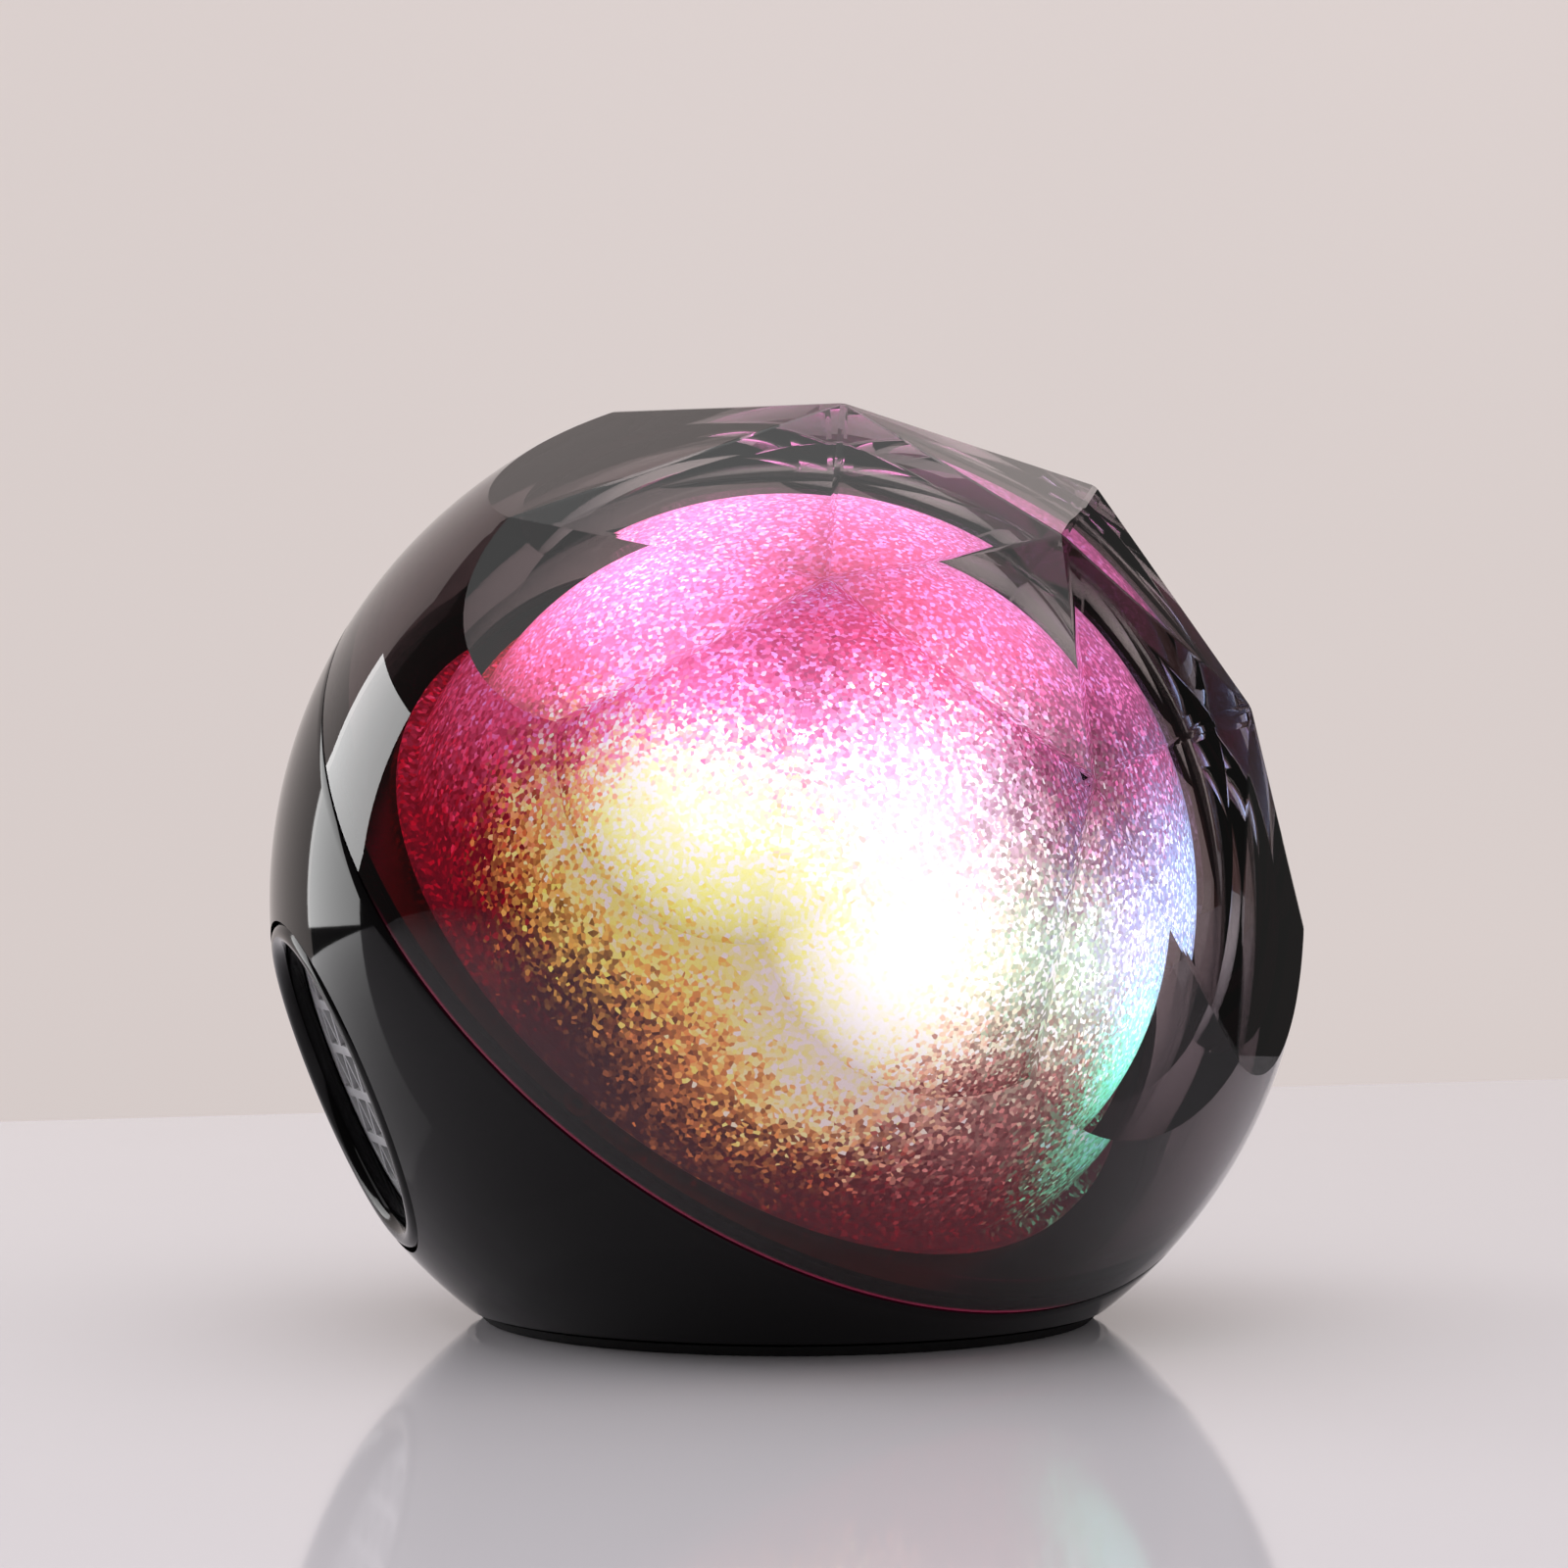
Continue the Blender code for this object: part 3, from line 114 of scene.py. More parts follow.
# The plain finishes: the colour or the name of its setting, the width of the grain, the roughness
# and how far the grain spreads it, the depth of the relief, how dark and how light the grain makes
# the colour, and what else the shader holds.
METAL = {"Metallic": 1.0}
COATED = {"Coat Weight": 0.4}
FAINT = {"Specular IOR Level": 0.2}
FINISHES = {
    # ABS from a mirror-polished tool: nearly black, with sharp reflections and faint waviness
    "gloss_abs": ("gloss", 0.012, 0.04, 0.01, 4e-6, 0.8, 1.2, FAINT),
    # The rims' ABS, from a less polished tool: its reflections are a little softer
    "rim_abs": ("gloss", 0.004, 0.1, 0.03, 4e-6, 0.8, 1.2, FAINT),
    # ABS from a finely etched tool: its highlights are soft
    "satin_abs": ("satin", 0.0006, 0.36, 0.06, 2e-5, 0.85, 1.15, {}),
    # Grey paint sprayed on the grilles: satin, with the fine pimples of the spray
    "grille_paint": ("grille", 0.0005, 0.34, 0.06, 2e-5, 0.85, 1.15, {}),
    # Silicone rubber: dark, dull and slightly dusty
    "moulded_rubber": ("rubber", 0.0008, 0.78, 0.06, 4e-5, 0.8, 1.2, {}),
    # Pale grey ink on the buttons' raised signs, slightly uneven
    "printed_sign": ("print", 0.0005, 0.5, 0.06, 4e-6, 0.92, 1.05, {}),
    # Zinc plated steel: bright, with a fine brushed cloudiness
    "zinc_plate": ("#b9b9b6", 0.0009, 0.3, 0.06, 4e-6, 0.85, 1.1, METAL),
    # Gold-flashed contact strips: warm and bright
    "gilt_contact": ("#d2a548", 0.0008, 0.25, 0.06, 2e-6, 0.9, 1.1, METAL),
    # Enamelled copper wire, wound side by side: reddish, in darker and lighter turns
    "wound_copper": ("#b4582c", 0.0004, 0.35, 0.06, 2e-5, 0.6, 1.2, METAL),
    # Plastic metallised in wine red: it mirrors the lamps' light in its own colour
    "wine_metallised": ("plate", 0.002, 0.22, 0.03, 4e-6, 0.8, 1.2, METAL),
    # White ABS of the reflector: even and soft, so that it scatters light
    "white_abs": ("#e4e2dd", 0.0007, 0.4, 0.06, 2e-5, 0.96, 1.02, {}),
    # Glass fibre board under a solder mask: glossy, with the weave showing through
    "green_board": ("#0f5a30", 0.0007, 0.3, 0.06, 1e-5, 0.85, 1.15, COATED),
    "white_board": ("#d9d9d2", 0.0007, 0.3, 0.06, 1e-5, 0.85, 1.15, COATED),
    # Blue heat-shrunk film round the cell: smooth, with slight waves
    "cell_film": ("#1b62b4", 0.004, 0.3, 0.06, 2e-5, 0.9, 1.1, {}),
    # Rolled rubber of the surrounds: black and dull
    "surround_rubber": ("#1c1c1c", 0.0006, 0.7, 0.06, 2e-5, 0.8, 1.2, {}),
    # Black pressed paper of the cones: matt, with matted fibres
    "pressed_paper": ("#262524", 0.0012, 0.85, 0.06, 5e-5, 0.6, 1.4, {}),
    # Ground ferrite of the magnets: dark grey and grainy
    "ground_ferrite": ("#3c3c3f", 0.0004, 0.55, 0.06, 2e-5, 0.7, 1.3, {}),
    # A pale lacquered table top: smooth, with a soft mirror image at low angles
    "lacquered_table": ("table", 0.05, 0.06, 0.01, 5e-6, 0.99, 1.01, FAINT),
}
# The CAD nodes that keep their shapes, without left_ or right_ and numbers, by their finish
INSIDE = {
    "wine_metallised": ("mid_plate", "mid_plate_screw"),
    "white_abs": ("reflector_dish",),
    "white_board": ("led_board",),
    "green_board": ("main_board",),
    "satin_abs": ("base_plate", "battery_tray", "speaker_basket", "tact_switch"),
    "zinc_plate": ("base_screw", "board_screw", "top_plate", "yoke", "power_switch", "bluetooth_module"),
    "cell_film": ("battery",),
    "surround_rubber": ("surround",),
    "pressed_paper": ("cone",),
    "wound_copper": ("voice_coil",),
    "ground_ferrite": ("magnet",),
}


def linear(code):
    """An sRGB hex colour as the linear colour and alpha that Blender's shaders use."""
    parts = [int(code[start : start + 2], 16) / 255 for start in (1, 3, 5)]
    made = [part / 12.92 if part <= 0.04045 else ((part + 0.055) / 1.055) ** 2.4 for part in parts]
    return (*made, 1.0)


def length(name, description, default):
    """A size in metres that the panel shows."""
    return bpy.props.FloatProperty(
        name=name, description=description, default=default, min=0, precision=5, subtype="DISTANCE"
    )


def colour(name, description, code):
    """A colour that the panel shows."""
    return bpy.props.FloatVectorProperty(
        name=name, description=description, default=linear(code), size=4, min=0, max=1, subtype="COLOR"
    )


class BallSizes(PropertyGroup):
    """The ball, its two domes and its foot."""

    radius: length("Ball radius", "Outer radius of the ball", RADIUS)
    height: length("Centre height", "Height of the ball's centre above the table", HEIGHT_SHARE * RADIUS)
    lean: bpy.props.FloatProperty(
        name="Lean", description="How far the dome leans", default=radians(47.7), subtype="ANGLE"
    )
    seam: length("Seam", "Gap between the dome and the housing", 0.0003)
    wall: length("Dome wall", "Thickness of the clear dome under its corners", 0.0052)
    tongue: length("Tongue radius", "Outer radius of the dome's tongue", 0.05431)
    tongue_wall: length("Tongue wall", "Thickness of the dome's tongue", 0.0022)
    tongue_depth: length("Tongue depth", "How far the tongue reaches into the housing", 0.0026)
    facet_inset: length("Facet inset", "How far the facets' corners lie inside the ball", 0.00025)
    facet_edge: length("Facet edge", "Width of the rounding along the facets' edges", 0.00035)
    glitter: length("Inner dome radius", "Outer radius of the glittering dome", 0.0452)
    glitter_wall: length("Inner dome wall", "Thickness of the glittering dome", 0.0012)
    glitter_flange: length("Inner dome flange", "Width of the glittering dome's flange", 0.0018)
    housing_wall: length("Housing wall", "Thickness of the black housing", 0.0026)


class GrilleSizes(PropertyGroup):
    """The loudspeakers' rims and seats."""

    rim: length("Rim radius", "Outer radius of a loudspeaker's rim", 0.0193)
    rim_width: length("Rim width", "Width of the rim's round crown", 0.0027)
    crown: length("Crown", "How far the rim stands proud of the ball", 0.0004)
    seat: length("Seat depth", "Depth of the seat that the rim lies in", 0.0047)
    sound_hole: length("Sound hole", "Radius of the hole in the seat", 0.0178)
    grille: length("Grille radius", "Radius of the grille plate", 0.0174)
    grille_depth: length("Grille depth", "How deep the grille's face lies in the rim", 0.0027)
    bar_edge: length("Bar edge", "Rounding of the grille's bars", 0.00012)


class PanelSizes(PropertyGroup):
    """The control panel and what sits in it."""

    width: length("Panel width", "Width of the control panel", 0.036)
    height: length("Panel height", "Height of the control panel", 0.024)
    corner: length("Panel corner", "Radius of the panel's corners", 0.004)
    thickness: length("Panel thickness", "Thickness of the panel", 0.002)
    sink: length("Panel sink", "How deep the panel lies under the housing's skin", 0.0006)
    pitch: length("Button pitch", "Distance between two buttons", 0.008)
    button: length("Button radius", "Radius of a button", 0.003)
    proud: length("Button height", "How far a button stands proud", 0.0012)
    row: length("Row", "Height of the buttons' row above the middle", 0.0055)
    dish: length("Dish", "Depth of the hollow in a button's top", 0.0002)
    board_depth: length("Board depth", "From the panel's back to the circuit board", 0.0078)


class LampColours(PropertyGroup):
    """The colours of the shells and of the light."""

    smoke_thin: colour("Thin smoke", "Tint of the clear dome in the middle of a facet", "#d8cfd0")
    smoke_edge: colour("Edge smoke", "Tint of the clear dome along the facets' edges", "#a0969a")
    smoke_thick: colour("Thick smoke", "Tint of the clear dome at its full thickness", "#584649")
    gloss: colour("Gloss black", "Colour of the housing", "#070607")
    satin: colour("Satin black", "Colour of the grilles and controls", "#17171a")
    grille: colour("Grille", "Paint of the loudspeaker grilles", "#b2b2b5")
    rubber: colour("Rubber", "Colour of the foot", "#131313")
    unlit: colour("Unlit dome", "Colour of the inner dome where no lamp reaches it", "#3a0c1c")
    stray: colour("Stray light", "Faint light of the inner dome all over", "#3b0d1d")
    plate: colour("Plate", "Colour of the plate under the domes", "#641c30")
    seam_light: colour("Seam light", "Light that leaks out along the seam", "#c22e66")
    print: colour("Print", "Colour of the symbols on the buttons", "#c9c9c6")
    wall: colour("Wall", "Colour of the wall behind", "#cec5c3")
    table: colour("Table", "Colour of the table", "#dfdbe2")


# ---- shaping


def only(piece, *others):
    """The piece is active, and nothing but it and the others is selected."""
    bpy.ops.object.select_all(action="DESELECT")
    for one in (*others, piece):
        one.select_set(True)
    bpy.context.view_layer.objects.active = piece


def primitive(operator, name, **settings):
    """A new primitive, with nothing else selected."""
    bpy.ops.object.select_all(action="DESELECT")
    operator(**settings)
    piece = bpy.context.object
    piece.name = name
    piece.data.name = name
    return piece


def edit(piece, mode="VERT"):
    """Edit mode with all of the piece selected."""
    only(piece)
    bpy.ops.object.mode_set(mode="EDIT")
    bpy.ops.mesh.select_mode(type=mode)
    bpy.ops.mesh.select_all(action="SELECT")


def leave():
    """Back to object mode."""
    bpy.ops.object.mode_set(mode="OBJECT")


def bevel(piece, width, segments, test, **settings):
    """The edges that pass a test are rounded."""
    edit(piece, "EDGE")
    bpy.ops.mesh.select_all(action="DESELECT")
    mesh = bmesh.from_edit_mesh(piece.data)
    for edge in mesh.edges:
        if test(edge):
            edge.select_set(True)
    bmesh.update_edit_mesh(piece.data)
    bpy.ops.mesh.bevel(offset=width, segments=segments, affect="EDGES", **settings)
    leave()


def steep(degrees):
    """A test for edges whose faces turn by more than this."""
    return lambda edge: edge.calc_face_angle(0) > radians(degrees)


def upright(edge):
    """A test for edges along Z."""
    return abs((edge.verts[0].co - edge.verts[1].co).normalized().z) > 0.99


def rim_at(height):
    """A test for the steep edges that lie at a height."""
    return lambda edge: all(abs(end.co.z - height) < FINE for end in edge.verts) and steep(60)(edge)


def slice_off(piece, *planes):
    """What lies beyond each plane, a point and a normal, is cut off, and the cut is closed."""
    edit(piece)
    for point, normal in planes:
        bpy.ops.mesh.select_all(action="SELECT")
        bpy.ops.mesh.bisect(
            plane_co=point, plane_no=normal, use_fill=True, clear_outer=True, threshold=FINE
        )
    leave()


def rotated(piece, turn, centre):
    """The piece turned about an upright line."""
    edit(piece)
    bpy.ops.transform.rotate(value=turn, orient_axis="Z", center_override=centre)
    leave()
    return piece


def smooth(piece, degrees):
    """Smooth faces, with sharp edges where they turn by more than this."""
    only(piece)
    bpy.ops.object.shade_smooth_by_angle(angle=radians(degrees))


def combine(piece, operation, *tools):
    """Exact booleans of a piece with its tools, which are used up."""
    for tool in tools:
        only(piece)
        modifier = piece.modifiers.new("Boolean", "BOOLEAN")
        modifier.operation = operation
        modifier.solver = "EXACT"
        modifier.object = tool
        bpy.ops.object.modifier_apply(modifier=modifier.name)
        bpy.data.objects.remove(tool)


def joined(piece, *parts):
    """Parts become part of a piece's mesh, with their own materials."""
    only(piece, *parts)
    bpy.ops.object.join()


def carry(piece, line):
    """The piece moves to its line in the lamp, and its place goes into its mesh."""
    only(piece)
    piece.matrix_world = line @ piece.matrix_world
    bpy.ops.object.transform_apply(location=True, rotation=True, scale=True)
    return piece


def arc(radius, start, end, steps, centre=(0, 0)):
    """Points of an arc as (across, up), with its angles in degrees from the across axis."""
    turns = [radians(start + (end - start) * step / steps) for step in range(steps + 1)]
    return [(centre[0] + radius * cos(turn), centre[1] + radius * sin(turn)) for turn in turns]


def turned(name, profile, steps):
    """A line drawn by extruding one corner along (radius, height) points, then spun about Z."""
    piece = primitive(bpy.ops.mesh.primitive_plane_add, name, size=0.001)
    edit(piece)
    bpy.ops.mesh.merge(type="CENTER")
    here = (0, 0)
    for step, (radius, height) in enumerate(profile):
        way = (radius - here[0], 0, height - here[1])
        if step:
            bpy.ops.mesh.extrude_vertices_move(TRANSFORM_OT_translate={"value": way})
        else:
            bpy.ops.transform.translate(value=way)
        here = (radius, height)
    bpy.ops.mesh.select_all(action="SELECT")
    bpy.ops.mesh.spin(steps=steps, angle=TURN, center=(0, 0, 0), axis=(0, 0, 1))
    bpy.ops.mesh.select_all(action="SELECT")
    bpy.ops.mesh.remove_doubles(threshold=FINE)
    bpy.ops.mesh.normals_make_consistent(inside=False)
    leave()
    return piece


def ring(name, inner, outer, low, high, steps):
    """A ring about Z with a square section."""
    return turned(name, [(inner, low), (outer, low), (outer, high), (inner, high), (inner, low)], steps)


def drum(name, radius, low, high, steps, place=(0, 0)):
    """A cylinder along Z."""
    return primitive(
        bpy.ops.mesh.primitive_cylinder_add,
        name,
        vertices=steps,
        radius=radius,
        depth=high - low,
        location=(*place, (low + high) / 2),
    )


def block(name, width, depth, low, high, corner=0, steps=6, place=(0, 0)):
    """A block about an upright line, with its four upright edges rounded."""
    piece = primitive(
        bpy.ops.mesh.primitive_cube_add,
        name,
        size=1,
        location=(*place, (low + high) / 2),
        scale=(width, depth, high - low),
    )
    bpy.ops.object.transform_apply(location=True, rotation=True, scale=True)
    if corner:
        bevel(piece, corner, steps, upright)
    return piece


def ball(name, radius, segments, rings):
    """A ball with its poles on Z."""
    add_ball = bpy.ops.mesh.primitive_uv_sphere_add
    return primitive(add_ball, name, segments=segments, ring_count=rings, radius=radius)


def copy_of(node, name):
    """A CAD node's shape as a mesh of its own, with its corners merged and its flats joined."""
    piece = bpy.data.objects.new(name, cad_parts[node].data.copy())
    bpy.context.collection.objects.link(piece)
    edit(piece)
    bpy.ops.mesh.remove_doubles(threshold=FINE)
    bpy.ops.mesh.dissolve_limited(angle_limit=radians(1))
    leave()
    return piece


def dressed(piece, body, slot, node, *materials):
    """The piece rides on its body, takes the materials given and stands for its CAD node, which is
    hidden; its slot is not used. A piece that comes with materials of its own is given none here."""
    if materials:
        piece.data.materials.clear()
    for material in materials:
        piece.data.materials.append(material)
    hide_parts(node)
    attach(piece, body)


# ---- the lines and heights of the lamp


def sizes():
    """The ball's sizes."""
    return bpy.context.scene.ball_sizes


def colours():
    """The lamp's colours."""
    return bpy.context.scene.lamp_colours


def ball_centre():
    """The ball's centre above the table."""
    return Matrix.Translation((0, 0, sizes().height))


def dome_line():
    """The line that the domes stand on, leaning forwards."""
    return ball_centre() @ Matrix.Rotation(sizes().lean, 4, "X")


def side_line(side):
    """The line that a loudspeaker stands on."""
    sweep = {"left": -1, "right": 1}[side] * radians(116.1)
    return ball_centre() @ Euler((radians(111.8), 0, sweep)).to_matrix().to_4x4()


def panel_line(across=0, up=0):
    """The line that the control panel faces along, or one beside it."""
    facing = Euler((radians(80), 0, TURN / 2)).to_matrix().to_4x4()
    return ball_centre() @ facing @ Matrix.Translation((across, up, 0))


def reach(radius, height):
    """How far a ball reaches from its axis at a height."""
    return sqrt(radius**2 - height**2)


def pocket_size():
    """The width and height of the pocket that the panel lies in."""
    panel = bpy.context.scene.panel_sizes
    return panel.width + 2 * GAP, panel.height + 2 * GAP


def panel_heights():
    """The heights of the panel's face, its back and the circuit board along the panel's line."""
    panel = bpy.context.scene.panel_sizes
    face = reach(sizes().radius, hypot(*pocket_size()) / 2) - panel.sink
    back = face - panel.thickness
    return face, back, back - panel.board_depth + GAP


def toward(azimuth, polar):
    """A direction from its two angles in degrees."""
    turn, fall = radians(azimuth), radians(polar)
    return Vector((sin(fall) * cos(turn), sin(fall) * sin(turn), cos(fall)))


def facets():
    """A corner and the outward normal of each of the twenty facets, from the tip down."""
    radius = sizes().radius - sizes().facet_inset
    tip = toward(0, 0) * radius
    made = []
    for here in range(180, 540, 72):
        upper, after = (toward(here + turn, 30) * radius for turn in (0, 72))
        under, between, beyond = (toward(here + turn, 60) * radius for turn in (0, 36, 72))
        for first, second, third in (
            (tip, upper, after),
            (upper, under, between),
            (after, between, beyond),
            (upper, between, after),
        ):
            normal = (second - first).cross(third - first).normalized()
            made.append((first, normal if normal.dot(first) > 0 else -normal))
    return made


# ---- finishes


def add(tree, kind, inputs, **settings):
    """A node with its settings. An input is a value, a socket, or a node's first open output."""
    made = tree.nodes.new(f"ShaderNode{kind}")
    for name, value in settings.items():
        setattr(made, name, value)
    for name, value in inputs.items():
        if isinstance(value, bpy.types.Node):
            value = next(output for output in value.outputs if output.enabled)
        if isinstance(value, bpy.types.NodeSocket):
            tree.links.new(value, made.inputs[name])
        else:
            made.inputs[name].default_value = value
    return made


def begin(name):
    """A new material, its tree, and the object's own coordinates in metres."""
    material = bpy.data.materials.new(name)
    material.use_nodes = True
    tree = material.node_tree
    tree.nodes.clear()
    return material, tree, add(tree, "TexCoord", {}).outputs["Object"]


def close(material, inputs):
    """The material ends in a Principled shader with these inputs."""
    shader = add(material.node_tree, "BsdfPrincipled", inputs)
    add(material.node_tree, "OutputMaterial", {"Surface": shader})
    return material


def shift(tint, factor):
    """A colour made lighter or darker."""
    return (*(min(1, part * factor) for part in tint[:3]), 1.0)


def mottled(tree, place, grain, tint, low, high, detail=4):
    """A fine noise, and a colour that it makes lighter and darker."""
    noise = add(tree, "TexNoise", {"Vector": place, "Scale": 1 / grain, "Detail": detail})
    ends = {"Factor": noise, 6: shift(tint, low), 7: shift(tint, high)}
    return noise, add(tree, "Mix", ends, data_type="RGBA")


def finish(name):
    """A plain finish, whose colour, roughness and relief follow one fine grain."""
    tint, grain, roughness, spread, relief, low, high, others = FINISHES[name]
    tint = linear(tint) if tint.startswith("#") else getattr(colours(), tint)
    material, tree, place = begin(name)
    noise, shade = mottled(tree, place, grain, tint, low, high)
    ends = {"Value": noise, "To Min": roughness - spread, "To Max": roughness + spread}
    rough = add(tree, "MapRange", ends)
    bump = add(tree, "Bump", {"Height": noise, "Distance": relief})
    return close(material, {"Base Color": shade, "Roughness": rough, "Normal": bump, **others})


def lamp_lens(name, code, strength):
    """A small clear resin lens over a lit chip: it glows with a fine mottle. brightest in its middle."""
    material, tree, place = begin(name)
    _, shade = mottled(tree, place, 0.0008, linear(code), 0.7, 1.1)
    glow = {"Emission Color": shade, "Emission Strength": strength}
    return close(material, {"Base Color": linear("#e8e6e0"), "Roughness": 0.15, **glow})


def dome_direction(tree, place):
    """The direction from the ball's centre, counted in the dome's own leaning frame."""
    own = {"Vector": place, "Location": (0, 0, sizes().height), "Rotation": (sizes().lean, 0, 0)}
    leaning = add(tree, "Mapping", own, vector_type="TEXTURE")
    return add(tree, "VectorMath", {0: leaning}, operation="NORMALIZE")


def smoked_acrylic():
    """Acrylic dyed smoke brown all through: the thick corners between the facets swallow more
    light than the thin middles, which sets each facet off. Each facet, and the skin between them,
    also carries a painted shade of its own."""
    material, tree, place = begin("smoked_acrylic")
    size = sizes()
    out = add(tree, "VectorMath", {0: place, 1: (0, 0, size.height)}, operation="DISTANCE")
    noise = add(tree, "TexNoise", {"Vector": place, "Scale": 1 / 0.02, "Detail": 1})
    wander = add(tree, "MapRange", {"Value": noise, "To Min": -0.0001, "To Max": 0.0001})
    depth = add(tree, "Math", {0: out, 1: wander}, operation="ADD")
    wall = {"From Min": size.radius - size.wall, "From Max": size.radius}
    ramp = add(tree, "ValToRGB", {"Fac": add(tree, "MapRange", {"Value": depth, **wall})})
    stops = ramp.color_ramp.elements
    stops[0].position, stops[0].color = 0.12, (0.97, 0.97, 0.97, 1)
    stops[1].position, stops[1].color = 1.0, colours().smoke_thick[:]
    for position, tint in ((0.30, colours().smoke_thin), (0.52, colours().smoke_edge)):
        stops.new(position).color = tint[:]
    # Painted shade: each facet lets its own share of the light through, set facet by facet
    facet = add(tree, "Attribute", {}, attribute_name="facet_shade").outputs["Fac"]
    tint = add(tree, "VectorMath", {0: ramp, "Scale": facet}, operation="SCALE")
    clear = {"Roughness": 0.0, "IOR": 1.49, "Transmission Weight": 1.0}
    return close(material, {"Base Color": tint, **clear})


def light_piping_rim():
    """The dome's lower rim and tongue, which lie on black plastic: dark, but for the outermost
    edge, where the clear wall lets the lamps' light out along the seam."""
    material, tree, place = begin("light_piping_rim")
    radius = sizes().radius
    away = {0: dome_direction(tree, place), 1: toward(228, 90)}
    away = add(tree, "VectorMath", away, operation="DISTANCE")
    glow = add(tree, "MapRange", {"Value": away, "From Min": 0.86, "From Max": 0.62}, **SOFT)
    out = add(tree, "VectorMath", {0: place, 1: (0, 0, sizes().height)}, operation="DISTANCE")
    skin = {"From Min": radius - 0.0009, "From Max": radius - 0.0003}
    edge = add(tree, "MapRange", {"Value": out, **skin}, **SOFT)
    noise = add(tree, "TexNoise", {"Vector": place, "Scale": 1 / 0.004, "Detail": 2})
    uneven = {"From Min": 0.3, "From Max": 0.7, "To Min": 0.7, "To Max": 1.0}
    patchy = add(tree, "MapRange", {"Value": noise, **uneven})
    level = add(tree, "Math", {0: glow, 1: edge}, operation="MULTIPLY")
    level = add(tree, "Math", {0: level, 1: patchy}, operation="MULTIPLY")
    ends = {"Factor": level, 6: (0.003, 0.0005, 0.001, 1), 7: colours().seam_light[:]}
    light = add(tree, "Mix", ends, data_type="RGBA")
    dull = {"Base Color": shift(colours().unlit, 0.25), "Roughness": 1.0, "Specular IOR Level": 0.0}
    return close(material, {**dull, "Emission Color": light, "Emission Strength": 1.0})


def glittered_diffuser():
    """A frosted dome with a film of coarse glitter, lit from inside: each grain throws the light
    of whichever lamp it happens to face, so the colours meet in speckles."""
    material, tree, place = begin("glittered_diffuser")
    grains = add(tree, "TexVoronoi", {"Vector": place, "Scale": 1 / GRAIN}).outputs
    direction = dome_direction(tree, grains["Position"])
    tilt = {0: grains["Color"], 1: (GRAIN_TILT,) * 3, 2: (-GRAIN_TILT / 2,) * 3}
    tilt = add(tree, "VectorMath", tilt, operation="MULTIPLY_ADD")
    facing = add(tree, "VectorMath", {0: direction, 1: tilt}, operation="ADD")
    total = None
    for code, glows in GLOWS.items():
        tint = linear(code)[:3]
        for azimuth, polar, spread, strength in glows:
            away = add(tree, "VectorMath", {0: facing, 1: toward(azimuth, polar)}, operation="DISTANCE")
            fade = {"Value": away, "From Min": spread, "From Max": 0.0, "To Max": strength}
            weight = add(tree, "MapRange", fade, **SOFT)
            light = add(tree, "VectorMath", {0: tint, "Scale": weight}, operation="SCALE")
            if total:
                light = add(tree, "VectorMath", {0: total, 1: light}, operation="ADD")
            total = light
    # Most grains shine alike, and a few flash: painted glints, given to grains at random and the same
    # from every side
    chance = add(tree, "TexWhiteNoise", {"Vector": grains["Position"]})
    flash = add(tree, "Math", {0: chance, 1: 4.0}, operation="POWER")
    shine = add(tree, "MapRange", {"Value": flash, "To Min": 0.68, "To Max": 2.8})
    # The film ends a little above the dome's flange
    height = add(tree, "SeparateXYZ", {"Vector": direction}).outputs["Z"]
    film = add(tree, "MapRange", {"Value": height, "From Min": -0.09, "From Max": -0.04}, **SOFT)
    level = add(tree, "Math", {0: shine, 1: film}, operation="MULTIPLY")
    sparkle = add(tree, "VectorMath", {0: total, "Scale": level}, operation="SCALE")
    lit = add(tree, "VectorMath", {0: sparkle, 1: colours().stray[:3]}, operation="ADD")
    lit = add(tree, "VectorMath", {0: lit, 1: (1, 1, 1)}, operation="MINIMUM")
    relief = {"Height": grains["Distance"], "Distance": 0.00005, "Strength": 0.5}
    return close(
        material,
        {
            "Base Color": colours().unlit[:],
            "Roughness": 0.4,
            "Emission Color": lit,
            "Emission Strength": GLOW_STRENGTH,
            "Normal": add(tree, "Bump", relief),
        },
    )


def painted_wall():
    """A painted wall out of focus: an even pale beige, which the eye and mirrors see at its full
    brightness, while it throws little light on the lamp."""
    material, tree, place = begin("painted_wall")
    _, shade = mottled(tree, place, 0.3, colours().wall, 0.985, 1.015, 1)
    scattered = add(tree, "LightPath", {}).outputs["Is Diffuse Ray"]
    shine = add(tree, "MapRange", {"Value": scattered, "To Min": 0.45, "To Max": 0.0})
    dull = {"Base Color": shade, "Roughness": 0.8, "Specular IOR Level": 0.0}
    return close(material, {**dull, "Emission Color": shade, "Emission Strength": shine})


# ---- the pieces


